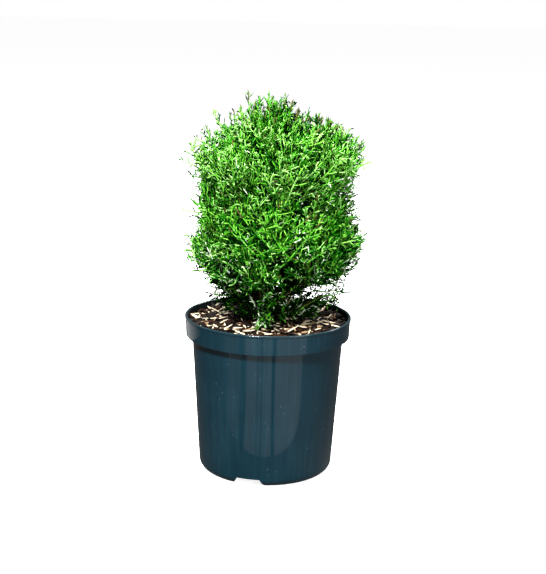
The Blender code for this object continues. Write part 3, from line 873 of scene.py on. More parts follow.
def plan_masses():
    """Where every mass and its bough sit, tier by tier, and the leader on the trunk's tip."""
    rng = random.Random(SEED)
    masses = []
    for name, count, fans, first, feet, height, leave, share in TIERS:
        for number in range(count):
            azimuth = math.radians(first + 360 * number / count + rng.uniform(-4, 4))
            foot = feet[0] + (feet[1] - feet[0]) * ((number * 0.618) % 1)
            target = crown_point(azimuth, height + rng.uniform(-0.005, 0.005))
            radius = BOUGH_FOOT_RADIUS if share else STEM_RADIUS[0]
            start, way = limb_start(azimuth, math.radians(leave), foot, radius)
            bough = None
            if share:
                bough = bent_course(start, way, start.lerp(target, share))
                start = bough[-1] + (bough[-1] - bough[-2]).normalized() * SEAT
            masses.append(Mass(f"{name}_{number + 1}", fans, bough, start, target))
    top = trunk_point(TRUNK_TOP)
    lean = (top - trunk_point(TRUNK_TOP - 0.01)).normalized()
    masses.append(Mass("leader", LEADER_FANS, None, top + lean * SEAT, LEADER_TIP))
    return masses


masses = plan_masses()
boughed = [mass for mass in masses if mass.bough]
print("masses:", len(masses), "with boughs:", len(boughed))

# %% [markdown]
# ## Bark
#
# A young thuja's bark is reddish brown and peels in thin strips that run up the trunk. The strips
# are real relief here, because bump alone vanishes along the edge of a limb. A circle is extruded
# ring by ring along the trunk's course, which keeps the rings even, and then every point is pushed
# out or in by a noise that is stretched along the trunk.
#
# The colour is another noise drawn out upwards: red-brown where bark has just peeled, grey-brown
# where it has weathered. Boughs and twigs are younger, so they are more olive and smoother.

# %% Bark finish
def along_limbs(tree):
    """Coordinates that draw a noise out into strips along Z."""
    return object_space(tree, (1, 1, 0.16))


def bark_finish(name, scale, *tones):
    """Strips of three browns with a fine bump."""
    stops = list(zip((0.32, 0.50, 0.68), tones))
    return grained(
        name, 0.85, 0.25, along_limbs, stops, 0.7, 0.0004, Scale=scale, Detail=7.0, Roughness=0.62
    )


# %% Trunk
TRUNK_RINGS = 150
TRUNK_SIDES = 40
STRIP_DEPTH = 0.00042
FULL_RELIEF_RADIUS = 0.003


def strip_relief(around, height):
    """Height of the peeling strips at an angle and a height on a limb."""
    twist = around + height * 3.0
    place = Vector((math.cos(twist) * 3.2, math.sin(twist) * 3.2, height * 42))
    return noise.fractal(place, 1.0, 2.1, 4)


def make_trunk():
    """The trunk as a relief mesh, from the ground to its tip."""
    low = MIX_TOP + SEAT
    shape = bmesh.new()
    bmesh.ops.create_circle(shape, cap_ends=True, segments=TRUNK_SIDES, radius=1)
    bmesh.ops.reverse_faces(shape, faces=shape.faces)
    rim, layer = list(shape.edges), list(shape.verts)
    last = Vector((0, 0, 0))
    for step in range(TRUNK_RINGS + 1):
        height = low + (TRUNK_TOP - low) * step / TRUNK_RINGS
        if step:
            grown = bmesh.ops.extrude_edge_only(shape, edges=rim)["geom"]
            layer = [item for item in grown if isinstance(item, bmesh.types.BMVert)]
            rim = [item for item in grown if isinstance(item, bmesh.types.BMEdge)]
        centre = trunk_point(height)
        for corner in layer:
            around = math.atan2(corner.co.y - last.y, corner.co.x - last.x)
            radius = trunk_radius(height)
            radius += STRIP_DEPTH * strip_relief(around, height) * min(1, radius / FULL_RELIEF_RADIUS)
            corner.co = centre + Vector((math.cos(around), math.sin(around), 0)) * radius
        last = centre
    bmesh.ops.contextual_create(shape, geom=rim)
    bmesh.ops.recalc_face_normals(shape, faces=shape.faces)
    data = mesh_of("trunk_bark", shape)
    data.shade_smooth()
    return data


old_bark = bark_finish("old_bark", 700.0, linear(52, 32, 22), linear(104, 66, 42), linear(150, 108, 76))
trunk = finished_piece("trunk_bark", make_trunk(), old_bark, "bark", "trunk")
print("trunk faces:", len(trunk.data.polygons))


# %% [markdown]
# A bough is a bent tube that tapers and swells a little at its foot. Its rings are turned along the
# course one after the other, so that the tube never twists.

# %% Tubes for limbs
def tube(points, radii, sides, relief=0.0):
    """Points and triangles of a closed tapering tube along a course."""
    points = [Vector(point) for point in points]
    first = (points[1] - points[0]).normalized().orthogonal().normalized()
    rings = []
    for number, (point, radius) in enumerate(zip(points, radii)):
        ahead = points[min(number + 1, len(points) - 1)] - points[max(number - 1, 0)]
        ahead.normalize()
        first = (first - ahead * first.dot(ahead)).normalized()
        second = ahead.cross(first)
        for k in range(sides):
            angle = math.tau * k / sides
            around = Vector((math.cos(angle), math.sin(angle), number * 0.35)) * 2
            swell = 1 + relief * noise.noise(around + point * 40)
            rings.append(point + (first * math.cos(angle) + second * math.sin(angle)) * radius * swell)
    rings += [points[0], points[-1]]
    faces = []
    last = (len(points) - 1) * sides
    for k in range(sides):
        n = (k + 1) % sides
        for ring in range(len(points) - 1):
            a, b = ring * sides + k, ring * sides + n
            faces += [(a, b, b + sides), (a, b + sides, a + sides)]
        faces += [(len(rings) - 2, n, k), (len(rings) - 1, last + k, last + n)]
    return np.array(rings), np.array(faces)


def smooth_course(points, steps):
    """A finer course through a bent limb's points."""
    flat = np.array([tuple(point) for point in points])
    marks = np.linspace(0, len(points) - 1, steps + 1)
    fine = np.array([np.interp(marks, range(len(points)), flat[:, axis]) for axis in range(3)]).T
    fine[1:-1] = (fine[:-2] + fine[1:-1] * 2 + fine[2:]) / 4
    return fine


# %% Boughs
BOUGH_SIDES = 12
BOUGH_RINGS = 26
BOUGH_RELIEF = 0.16
FOOT_SWELL = (1.25, 1.12, 1.04)


def make_boughs():
    """Every bough from the trunk to its mass, joined."""
    pile = Pile()
    for mass in boughed:
        course = smooth_course(mass.bough, BOUGH_RINGS)
        radii = np.linspace(BOUGH_FOOT_RADIUS, BOUGH_TIP_RADIUS, len(course))
        radii[:3] *= FOOT_SWELL
        pile.add(*tube(course, radii, BOUGH_SIDES, BOUGH_RELIEF))
    data = pile.mesh("bough_bark")
    data.shade_smooth()
    young = bark_finish(
        "young_bark", 900.0, linear(60, 46, 30), linear(102, 82, 54), linear(136, 124, 80)
    )
    names = ["bough_" + mass.name for mass in boughed]
    return finished_piece("bough_bark", data, young, "young_bark", *names)


boughs = make_boughs()
print("bough triangles:", len(boughs.data.polygons))

# %% [markdown]
# ## Fans of shoots
#
# One fan is a thin main shoot with side shoots left and right in turn, all in one plane, and each
# side shoot forks again into thread-like shoots of its own. Every shoot is a flattened strip with a
# low ridge on one face: three corners round, and a pointed end. That is a few triangles each, so a
# million triangles buy tens of thousands of shoots.
#
# A particle system or instances would be quicker to set up, but they are lost when the model leaves
# Blender. So a few dozen different fans are worked out once as arrays, and each is then copied, bent
# and set in place, which is far faster than a loop over Blender objects.

# %% A shoot as rings
# Rings along a shoot: (share of its length, half width, ridge height), in half widths.
MAIN_RINGS = ((0.0, 1.0, 0.8), (0.25, 0.95, 0.7), (0.5, 0.85, 0.6), (0.75, 0.8, 0.5))
SIDE_RINGS = ((0.0, 0.70, 0.5), (0.28, 0.95, 0.6), (0.56, 0.88, 0.55), (0.80, 0.80, 0.5))
THREAD_RINGS = ((0.0, 0.75, 0.5), (0.60, 1.0, 0.6))
END_RINGS = ((0.0, 0.8, 0.5), (0.4, 1.0, 0.6), (0.75, 0.9, 0.5))


def strip_faces(count):
    """Triangles of one strip with this many rings of (left, right, ridge) and a tip."""
    faces = [(0, 1, 2)]
    for k in range(count - 1):
        left, right, top = 3 * k, 3 * k + 1, 3 * k + 2
        for a, b in ((left, top), (top, right), (right, left)):
            faces += [(a, b, b + 3), (a, b + 3, a + 3)]
    left, right, top, tip = range(3 * count - 3, 3 * count + 1)
    return np.array(faces + [(left, top, tip), (top, right, tip), (right, left, tip)])


def strips(rows, rings):
    """Pointed strips for rows of x, y, z, heading, lift, length, half width, bend and roll."""
    x, y, z, heading, lift, length, half, bend, roll = rows.T
    level = np.cos(lift)
    along = np.stack([np.cos(heading) * level, np.sin(heading) * level, np.sin(lift)], 1)
    across = np.stack([-np.sin(heading), np.cos(heading), np.zeros_like(heading)], 1)
    ridge = np.cross(along, across)
    turned, risen = np.cos(roll)[:, None], np.sin(roll)[:, None]
    flat, up = across * turned + ridge * risen, ridge * turned - across * risen
    root = np.stack([x, y, z], 1)
    corners = []
    for share, wide, high in rings:
        centre = root + along * (length * share)[:, None] + across * (bend * length * share**2)[:, None]
        side = flat * (half * wide)[:, None]
        corners += [centre + side, centre - side, centre + up * (half * high)[:, None]]
    corners.append(root + along * length[:, None] + across * (bend * length)[:, None])
    places = np.stack(corners, 1)
    shift = (np.arange(len(rows)) * places.shape[1])[:, None, None]
    return places.reshape(-1, 3), (strip_faces(len(rings))[None] + shift).reshape(-1, 3)


# %% A fan as rows of shoots
FAN_SIZES = (0.034, 0.048, 0.064)
FANS_PER_SIZE = 5
SIDE_SPACING = 0.0048
SIDE_REACH = {"broad": 0.44, "slender": 0.26, "sprig": 0.19}
SHORTEST_SIDE = 0.0060
THREAD_SPACING = 0.0028
SHORTEST_THREAD = 0.0028
LONGEST_THREAD = 0.0068
MAIN_HALF_WIDTH = 0.00078
SIDE_HALF_WIDTH = 0.00072
THREAD_HALF_WIDTH = 0.00064
END_SHARE = 0.80


def threads_along(x, y, lift, heading, bend, reach, first, chance):
    """Rows of thread-like shoots, left and right in turn, along one curved shoot."""
    rows = []
    hand, along = chance.choice((-1, 1)), first
    while along < reach - 0.0012:
        u = along / reach
        drift = bend * reach * u * u
        cx = x + math.cos(heading) * along - math.sin(heading) * drift
        cy = y + math.sin(heading) * along + math.cos(heading) * drift
        turn = heading + math.atan(2 * bend * u) + hand * math.radians(chance.uniform(30, 72))
        size = min(LONGEST_THREAD, SHORTEST_THREAD + 0.45 * (reach - along)) * chance.uniform(0.6, 1.25)
        rows.append((
            cx, cy, math.sin(lift) * along, turn, lift + chance.gauss(0, 0.30),
            size, THREAD_HALF_WIDTH * chance.uniform(0.8, 1.15), -hand * chance.uniform(-0.05, 0.30),
            chance.gauss(0, 0.9),
        ))
        hand = -hand
        along += THREAD_SPACING * chance.uniform(0.7, 1.4)
    return rows


def fan_rows(length, form, chance):
    """Rows of the main shoot and its end, the side shoots and the threads of one fan."""
    sway = chance.uniform(-0.12, 0.12)
    main = [(0, 0, 0, 0, 0, length, MAIN_HALF_WIDTH, sway, 0)]
    end = [(
        length * END_SHARE, sway * length * END_SHARE**2, 0.0001, math.atan(2 * sway * END_SHARE), 0,
        length * (1.02 - END_SHARE), MAIN_HALF_WIDTH * 1.05, sway * 0.3, 0,
    )]
    threads = threads_along(0, 0, 0, 0, sway, length, 0.006, chance)
    sides = []
    count = round(length * 0.86 / SIDE_SPACING)
    hand = chance.choice((-1, 1))
    for number in range(count):
        share = 0.08 + 0.86 * (number + chance.uniform(-0.3, 0.3)) / count
        swell = math.sin(math.pi * (0.20 + 0.74 * share)) ** 0.8
        reach = max(SHORTEST_SIDE, length * SIDE_REACH[form] * swell * chance.uniform(0.6, 1.2))
        heading = math.atan(2 * sway * share) + hand * math.radians(chance.uniform(34, 70) - 12 * share)
        bend = -hand * chance.uniform(0.0, 0.30)
        lift = chance.gauss(0.0, 0.20)
        x, y = length * share, sway * length * share**2
        sides.append((x, y, 0, heading, lift, reach, SIDE_HALF_WIDTH, bend, chance.gauss(0, 0.5)))
        threads += threads_along(x, y, lift, heading, bend, reach, 0.0030, chance)
        hand = -hand
    return main, end, sides, threads


# %% [markdown]
# Neighbouring shoots never have quite the same green, and here the steps go further: they paint the
# highlights on lit shoots and the shade in the gaps between them. So the side shoots and the threads
# of a fan are sorted into a few steps, some lighter and some darker than the fan itself, and those
# near its tip tend to be lighter, partly as new growth and partly as painted light. The main shoot
# and its end are lighter than the rest.

# %% Fans as arrays
# For each order of shoots, the middle and the spread of its steps in shade.
ORDER_SHADES = {"side": (0.8, 1.5), "thread": (-0.8, 2.4)}
PLAIN_LIFTS = {"main": 1.7, "end": 1.0}
SHADE_STEPS = (-3.1, -1.1, 0.9, 2.7)
# Shoots near a fan's tip lean lighter, partly as new growth and partly as painted light.
TIP_LIFT = 1.9


def fan_parts(size, form, chance):
    """One fan as a list of (shade step, points, triangles)."""
    main, end, sides, threads = fan_rows(size, form, chance)
    by_step = {step: Pile() for step in SHADE_STEPS}
    for order, rows, rings in (("side", sides, SIDE_RINGS), ("thread", threads, THREAD_RINGS)):
        rows = np.array(rows, float)
        lift = [chance.gauss(*ORDER_SHADES[order]) + TIP_LIFT * (row[0] / size - 0.5) for row in rows]
        steps = np.abs(np.subtract.outer(lift, SHADE_STEPS)).argmin(1)
        for number, step in enumerate(SHADE_STEPS):
            if (steps == number).any():
                by_step[step].add(*strips(rows[steps == number], rings))
    parts = [(step, *pile.arrays()) for step, pile in by_step.items() if pile.count]
    parts.append(("main", *strips(np.array(main, float), MAIN_RINGS)))
    return parts + [("end", *strips(np.array(end, float), END_RINGS))]


def fan_templates():
    """Several fans for each form and size."""
    chance = random.Random("fans")
    return {
        (form, size): [fan_parts(size, form, chance) for _ in range(FANS_PER_SIZE)]
        for form, size in itertools.product(SIDE_REACH, FAN_SIZES)
    }


templates = fan_templates()
for size, made in templates.items():
    print("fan", size, "triangles:", [sum(len(part[2]) for part in fan) for fan in made])

# %% [markdown]
# ## Where the fans grow
#
# Each mass has a stem. Fans turn round it by the golden angle, lean out by a drawn angle, and end
# just inside the crown's outline. From all the fans that would fit, the next one to grow is always
# the one with the most room round it, as a real shoot does best where there is light. Fans may
# reach a little into the next mass's space, which hides the seams between the masses. Low on its
# left and right the crown draws in, where old fans have been shed and sky shows.

# %% The crown's limits
CELL_OVERLAP = 0.014
DENSE_TOP = 0.365
LIGHT_LEAN = 0.0055
# A bulge to the right: how far, at which height, and over what height it fades.
BULGE, BULGE_HEIGHT, BULGE_SPAN = 0.006, 0.344, 0.013
EDGE_ROOM = 0.0045
FRONT_LIFT = 0.42
# Where the crown draws in low down, for each side: its top, over what height, and by how much.
BARE_LEFT = (0.216, 0.026, 0.019)
BARE_RIGHT = (0.228, 0.022, 0.016)
BARE_SIDE = 0.035
seeds = np.array([tuple(mass.seed) for mass in masses])


def crown_middle(height):
    """How far to the right the crown's middle lies: it leans to the light."""
    bulge = BULGE * np.exp(-(((height - BULGE_HEIGHT) / BULGE_SPAN) ** 2))
    return CROWN_SHIFT.x + LIGHT_LEAN * np.clip((height - 0.19) / 0.03, 0, 1) + bulge


def fan_reach(height):
    """How far from the crown's middle main shoots end, so that side shoots end on its outline."""
    return crown_radius(height) - 0.0006 - EDGE_ROOM * np.clip((height - 0.255) / 0.03, 0, 1)


def bare_foot(places):
    """How much the crown draws in at these places."""
    drawn = 0
    for hand, (top, span, depth) in ((-1, BARE_LEFT), (1, BARE_RIGHT)):
        fade = np.clip((top - places[:, 2]) / span, 0, 1) * np.clip(hand * places[:, 0] / BARE_SIDE, 0, 1)
        drawn = drawn + depth * fade
    return drawn


def kept(index, places):
    """True for points in the mass's space, inside the crown and above the mulch and the rim."""
    here = seeds[index]
    across = np.delete(seeds, index, axis=0) - here
    lengths = np.linalg.norm(across, axis=1)
    depth = (places - here) @ (across / lengths[:, None]).T
    inside = (depth < lengths / 2 + CELL_OVERLAP).all(1)
    reach = np.hypot(places[:, 0] - crown_middle(places[:, 2]), places[:, 1])
    inside &= reach <= fan_reach(places[:, 2]) + 0.002 - bare_foot(places)
    lowest = np.where(reach > RIM_CLEARANCE, LOWEST_LEAF_OVER_RIM, LOWEST_LEAF)
    lowest = lowest + FRONT_LIFT * np.clip(-places[:, 1], 0, 0.06)
    return inside & (places[:, 2] >= lowest) & (places[:, 2] <= DENSE_TOP)


# %% Candidates for one mass
GOLDEN_ANGLE = math.radians(137.5)
CANDIDATES = 760
LONGEST_TWIG = 0.034
SHORTEST_FAN = 0.028
LONGEST_FAN = 0.070


def room_ahead(base, way):
    """How far each twig can run before it leaves the crown."""
    steps = np.arange(4, 110) * 0.001
    places = base[:, None, :] + way[:, None, :] * steps[None, :, None]
    out = np.hypot(places[..., 0] - crown_middle(places[..., 2]), places[..., 1])
    gone = (places[..., 2] > DENSE_TOP) | (out > fan_reach(places[..., 2]))
    first = np.where(gone.any(1), gone.argmax(1), len(steps) - 1)
    return steps[first] - 0.001


def fan_candidates(index, mass, dice):
    """Base, root, way and length of the fans that would fit round a mass's stem."""
    forward = np.array(mass.way)
    side = np.array(mass.way.orthogonal().normalized())
    other = np.cross(forward, side)
    turn = dice.uniform(0, math.tau) + np.arange(CANDIDATES) * GOLDEN_ANGLE
    lean = np.radians(dice.uniform(14, 86, CANDIDATES))
    stem = np.array(mass.stem_end - mass.start)
    base = np.array(mass.start) + stem * dice.uniform(0.0, 1.0, CANDIDATES)[:, None]
    out = side * np.cos(turn)[:, None] + other * np.sin(turn)[:, None]
    way = forward * np.cos(lean)[:, None] + out * np.sin(lean)[:, None]
    total = room_ahead(base, way) * (1 - 0.30 * dice.uniform(0, 1, CANDIDATES) ** 1.3)
    length = np.minimum(dice.uniform(SHORTEST_FAN, LONGEST_FAN, CANDIDATES), total * 0.96)
    root = base + way * (total - length)[:, None]
    fits = (length >= SHORTEST_FAN) & (total <= length + LONGEST_TWIG)
    for share in (0.35, 0.65, 1.0):
        fits &= kept(index, root + way * (length * share)[:, None])
    return base[fits], root[fits], way[fits], length[fits]


# %% Choose the fans
OUTER_SHARE = 0.80
# A fan: where its twig starts, its root, way, length, roll about its way, and lift in shade.
Fan = collections.namedtuple("Fan", "base root way length roll lift")


def emptiest(middles, taken, count):
    """Indexes of the middles to grow, each the furthest from all that are taken."""
    room = np.full(len(middles), 1.0)
    for place in taken:
        room = np.minimum(room, np.linalg.norm(middles - place, axis=1))
    order = []
    while len(order) < min(count, len(middles)):
        best = int(room.argmax())
        order.append(best)
        room = np.minimum(room, np.linalg.norm(middles - middles[best], axis=1))
        room[best] = -1
    return order


def grow_fans():
    """The fans of every mass, one of them at the end of its stem."""
    grown = []
    for index, mass in enumerate(masses):
        dice = np.random.default_rng([SEED, index])
        base, root, way, length = fan_candidates(index, mass, dice)
        middles = root + way * (length * OUTER_SHARE)[:, None]
        near = [fan.root + fan.way * fan.length * OUTER_SHARE for fan in grown]
        start, target, forward = (np.array(part) for part in (mass.start, mass.target, mass.way))
        end_root = np.array(mass.target - mass.way * SPRAY_LENGTH)
        end_length = SPRAY_LENGTH - float(bare_foot(target[None])[0])
        grown.append(Fan(start, end_root, forward, end_length, dice.uniform(0.3, 1.2), 0.0))
        near.append(target - forward * SPRAY_LENGTH * (1 - OUTER_SHARE))
        for k in emptiest(middles, near, mass.fans):
            roll = dice.uniform(-math.pi / 2, math.pi / 2)
            grown.append(Fan(base[k], root[k], way[k], length[k], roll, 0.0))
    return grown


fans = grow_fans()
print("fans of the masses:", len(fans))

# %% [markdown]
# ### Growth that stands out
#
# A few fans are not part of the even crown. A low tuft hangs forward over the mulch, thin sprigs
# stand clear of the top, and loose sprays hang out low down with sky between them. The sprigs and
# the loose sprays are given by their tips, since their tips make the outline, and each starts from
# the nearest limb. Last come long fans that lie along the crown's face with their flat side
# outwards, so that broad sprays show between the narrow ones that are seen edge on.

# %% A low tuft
TUFT_FANS = 10
TUFT_AZIMUTH = -94
# Painted light: the tuft gets lighter greens than its depth and height give, as it hangs in the light.
TUFT_LIFT = 2.8


def grow_tuft():
    """A low tuft that leaves the trunk's foot and hangs forward over the mulch."""
    dice = np.random.default_rng([SEED, 500])
    tuft = []
    for _ in range(TUFT_FANS):
        azimuth = math.radians(TUFT_AZIMUTH + dice.uniform(-7, 7))
        out = np.array((math.cos(azimuth), math.sin(azimuth), 0))
        base = np.array(trunk_point(dice.uniform(0.168, 0.192)))
        root = base + out * dice.uniform(0.016, 0.034) + np.array((0, 0, dice.uniform(0, 0.008)))
        tip = out * dice.uniform(0.046, 0.060) + np.array((0, 0, dice.uniform(0.1585, 0.1720)))
        way = tip - root
        length = np.linalg.norm(way)
        tuft.append(Fan(base, root, way / length, length, dice.uniform(0.5, 2.6), TUFT_LIFT))
    return tuft


# %% Fans that are given by their tips
def limb_points():
    """Points along every bough and stem, for twigs to start from."""
    places = []
    for mass in masses:
        course = list(mass.bough or []) + [mass.start, mass.stem_end]
        places += [a.lerp(b, t / 6) for a, b in zip(course, course[1:]) for t in range(6)]
    return np.array([tuple(place) for place in places])


limbs = limb_points()


def from_nearest_limb(tip, way, length, roll, lift):
    """A fan that ends at this tip, on a twig from the nearest limb below its root."""
    way = way / np.linalg.norm(way)
    root = tip - way * length
    away = np.linalg.norm(limbs - root, axis=1) + 0.5 * np.clip(limbs[:, 2] - root[2], 0, None)
    return Fan(limbs[away.argmin()], root, way, length, roll, lift)


# %% Sprigs on top
TOP_SPRIGS = 60
SPRIG_LIFT = -1.0
SPRIG_TIPS = (
    (-0.057, -0.012, 0.370), (-0.043, 0.016, 0.366), (-0.034, -0.022, 0.372), (-0.025, 0.004, 0.388),
    (-0.012, -0.030, 0.374), (-0.0005, -0.006, 0.384), (0.0135, 0.010, 0.386), (0.018, -0.012, 0.381),
    (0.030, -0.020, 0.370), (0.036, 0.014, 0.371), (0.048, -0.010, 0.367), (0.059, 0.006, 0.360),
    (0.004, 0.034, 0.374), (-0.016, 0.050, 0.366), (0.026, 0.046, 0.367), (0.072, -0.018, 0.350),
    (-0.068, 0.010, 0.352), (0.004, -0.052, 0.363),
)


def grow_sprigs():
    """Single upright shoots that stand clear of the crown's top."""
    dice = np.random.default_rng([SEED, 700])
    tips = [np.array(tip) for tip in SPRIG_TIPS]
    for number in range(TOP_SPRIGS):
        azimuth = math.radians(number * 137.5 + dice.uniform(-15, 15))
        height = dice.uniform(0.354, 0.383)
        reach = float(crown_radius(height)) * dice.uniform(0.05, 1.0)
        x = reach * math.cos(azimuth) + crown_middle(height) - 0.003
        tips.append(np.array((x, reach * math.sin(azimuth), height)))
    sprigs = []
    for tip in tips:
        lean = np.array((tip[0], tip[1], 0)) * dice.uniform(3, 9) + dice.normal(0, 0.10, 3) * (1, 1, 0)
        way, length = lean + np.array((0, 0, 1)), dice.uniform(0.036, 0.056)
        sprigs.append(from_nearest_limb(tip, way, length, dice.uniform(-1.5, 1.5), SPRIG_LIFT))
    return sprigs


# %% Loose sprays low down
LOOSE_LIFT = -0.4
LOOSE_TIPS = (
    (0.080, -0.010, 0.195), (0.077, 0.010, 0.184), (0.082, 0.004, 0.207), (0.068, -0.022, 0.184),
    (0.074, -0.004, 0.203), (0.076, 0.000, 0.190), (0.070, 0.012, 0.177), (0.078, -0.016, 0.201),
    (0.073, -0.012, 0.181), (0.072, 0.016, 0.198),
    (-0.088, -0.004, 0.227), (-0.085, 0.012, 0.235), (-0.064, -0.004, 0.186), (-0.060, 0.012, 0.179),
    (0.095, 0.000, 0.247), (0.094, -0.014, 0.236), (-0.088, -0.010, 0.245), (0.092, 0.012, 0.262),
)


def grow_loose_sprays():
    """Old low sprays that hang out past the others, with sky between them."""
    dice = np.random.default_rng([SEED, 800])
    sprays = []
    for tip in map(np.array, LOOSE_TIPS):
        way = tip * (1, 1, 0) + np.array((0, 0, 0.012)) + dice.normal(0, 0.012, 3)
        length = dice.uniform(0.024, 0.036)
        sprays.append(from_nearest_limb(tip, way, length, dice.uniform(-0.6, 0.6), LOOSE_LIFT))
    return sprays


# %% Fans along the crown's face
FACE_FANS = 84
FACE_LIFT = -1.1
FACE_LOW, FACE_SPAN = 0.198, 0.128
ROOT_DEPTH, TIP_DEPTH = 0.008, 0.0


def facing_roll(way, outward):
    """The roll that turns a fan's flat side outwards."""
    way = way / np.linalg.norm(way)
    upright = np.cross(np.cross(way, (0, 0, 1)), way)
    upright /= np.linalg.norm(upright)
    level = np.cross(outward, way)
    return math.atan2(level @ np.cross(way, upright), level @ upright)


def grow_face_fans():
    """Long fans that lie along the crown's face, with their flat side outwards."""
    dice = np.random.default_rng([SEED, 900])
    grown = []
    for number in range(FACE_FANS):
        turn = number * GOLDEN_ANGLE + dice.uniform(-0.2, 0.2)
        low = FACE_LOW + FACE_SPAN * ((number * 0.618 + dice.uniform(0, 0.1)) % 1)
        high = low + dice.uniform(0.014, 0.046)
        aside = turn + dice.choice((-1, 1)) * dice.uniform(0.05, 0.55)
        ends = []
        for angle, height, depth in ((turn, low, ROOT_DEPTH), (aside, high, TIP_DEPTH)):
            reach = float(fan_reach(height)) - depth
            x = crown_middle(height) + reach * math.cos(angle)
            ends.append(np.array((x, reach * math.sin(angle), height)))
        root, tip = ends
        roll = facing_roll(tip - root, (root + tip) * (1, 1, 0)) + dice.normal(0, 0.3)
        grown.append(from_nearest_limb(tip, tip - root, np.linalg.norm(tip - root), roll, FACE_LIFT))
    return grown


fans += grow_tuft() + grow_sprigs() + grow_loose_sprays() + grow_face_fans()
print("fans on stems:", len(fans))

# %% [markdown]
# ### Older fans inside
#
# Behind the bright outer fans, short ones grow straight from the boughs, older and painted darker as
# the shade inside the crown. They are what the eye meets in the gaps, and without them the crown
# would look hollow.

# %% Inner fans
INNER_FANS = 15
INNER_LENGTHS = (0.028, 0.046)
# Painted shade: inner fans get a darker green.
INNER_LIFT = -0.6
INNER_REACH = 0.96
TRUNK_MARKS = (0.163, 0.20, 0.235, 0.27, TRUNK_TOP)


def grow_inner_fans():
    """Short fans along each bough and the upper trunk."""
    dice = np.random.default_rng([SEED, 1000])
    inner = []
    courses = [([np.array(point) for point in mass.bough], INNER_FANS, 0.35) for mass in boughed]
    courses.append(([np.array(trunk_point(height)) for height in TRUNK_MARKS], 3 * INNER_FANS, 0.05))
    for course, count, first in courses:
        for _ in range(count):
            mark = dice.uniform(first, len(course) - 1.001)
            low = int(mark)
            forward = course[low + 1] - course[low]
            base = course[low] + forward * (mark - low)
            way = forward / np.linalg.norm(forward) * 0.7 + dice.normal(0, 0.75, 3) + np.array((0, 0, 0.35))
            way /= np.linalg.norm(way)
            length = dice.uniform(*INNER_LENGTHS)
            tip = base + way * length
            reach = math.hypot(tip[0] - CROWN_SHIFT.x, tip[1]) + float(bare_foot(tip[None])[0])
            hidden = reach < float(crown_radius(tip[2])) * INNER_REACH
            if hidden and LOWEST_LEAF_OVER_RIM < tip[2] < CROWN_TOP:
                roll = dice.uniform(-math.pi / 2, math.pi / 2)
                inner.append(Fan(base, base, way, length, roll, INNER_LIFT))
    return inner


inner_fans = grow_inner_fans()
print("inner fans:", len(inner_fans))

# %% [markdown]
# ## Greens
#
# New growth at the crown's edge is yellow-green and older fans are deeper green, but most of the
# change in green here is painted light and shade: fans are made lighter near the outside and the
# top, where the light falls, and darker inside and low down, where shade falls. A texture laid over
# the crown would slide across such tiny pieces, so the greens are dealt out like cards. Each fan gets
# a shade by its depth, its height and a little luck, and its shoots are lighter or darker than that
# by their own steps, which paint highlights on lit shoots and shade in the gaps, most of all low
# down. A few shoots are silvery, partly as the pale backs of scale leaves and partly as painted
# highlights, more of them low down, and the ends of some fans are bronze. All the shoots of one
# shade are joined, and each joined piece has its own material.

# %% Shades and their finish
# Each shade: its name, its colour and its shine. The greens run from dark to light: the darkest paint
# the shade deep in the crown and the lightest paint lit tips and highlights.
SHADES = (
    ("shade", linear(0, 28, 0), 0.02),
    ("deep", linear(2, 54, 0), 0.05),
    ("leaf", linear(22, 102, 5), 0.12),
    ("fresh", linear(70, 156, 28), 0.25),
    ("bright", linear(118, 196, 62), 0.34),
    ("tip", linear(164, 229, 122), 0.38),
    ("silver_highlight", linear(214, 246, 200), 0.38),
    ("bronze", linear(88, 84, 42), 0.15),
)
GREENS = 6
SILVER_HIGHLIGHT, BRONZE = GREENS, GREENS + 1
# Painted highlight: a share of the lightest shoots turn silver-pale, partly as pale leaf backs.
SILVER_HIGHLIGHT_SHARE = 0.04
BRONZE_SHARE = {"broad": 0.12, "slender": 0.25, "sprig": 0.60}
MOST_TRIANGLES = 190000


def leaf_finish(name, colour, shine):
    """Satin scale leaves of one green, mottled a little lighter and darker."""
    darker = tuple(value * 0.72 for value in colour)
    lighter = tuple(min(1.0, value * 1.28) for value in colour)
    return grained(
        "thuja_" + name, 0.30, shine, object_space, [(0.3, darker), (0.7, lighter)], 0.35, 0.0004,
        Scale=320.0, Detail=3.0, Roughness=0.6,
    )


# %% The shade of a fan
# The shade of a fan at mid height on the surface, and its change for each metre of depth and height,
# which paints shade inside the crown and light near its outside and top.
MIDDLE_SHADE = 3.25
DEPTH_SLOPE = 85
HEIGHT_SLOPE = 13
MIDDLE_HEIGHT = 0.275
# Below this height the fans get darker still, by this much for each metre.
SHADY_HEIGHT = 0.245
SHADY_SLOPE = 19
# Below this height the shoots vary more, as stronger painted highlights and shade, and more of them
# are silvery, for each metre.
CONTRAST_HEIGHT = 0.27
LOW_SPREAD = 9.0
LOW_SILVER_HIGHLIGHT = 5


def crown_roof(reach):
    """The height of the crown's upper surface at a distance from its middle."""
    upper = [(radius, height) for height, radius in reversed(CROWN_OUTLINE) if height > 0.32]
    return np.interp(reach, *zip(*upper))


def fan_shade(middle, luck):
    """Which green a fan gets: painted lighter near the outside and the top, darker inside and low."""
    reach = math.hypot(middle[0] - crown_middle(middle[2]), middle[1])
    depth = min(float(crown_radius(middle[2])) - reach, float(crown_roof(reach)) - middle[2])
    shade = MIDDLE_SHADE - depth * DEPTH_SLOPE + (middle[2] - MIDDLE_HEIGHT) * HEIGHT_SLOPE
    return shade - SHADY_SLOPE * max(0, SHADY_HEIGHT - middle[2]) + luck


# %% Set the fans in place
FLOW_SOURCE = np.array((0.0, 0.0, 0.135))
SPRIG_HEIGHT = 0.352
BOW = 0.9


def fan_axes(way, roll):
    """Axes of a fan: along its way, across it and out of its flat side, turned by its roll."""
    across = np.cross(way, (0, 0, 1))
    if np.linalg.norm(across) < 0.05:
        across = np.array((1.0, 0, 0))
    upright = np.cross(across, way)
    upright /= np.linalg.norm(upright)
    turned = upright * math.cos(roll) + np.cross(way, upright) * math.sin(roll)
    return np.stack([way, turned, np.cross(way, turned)])


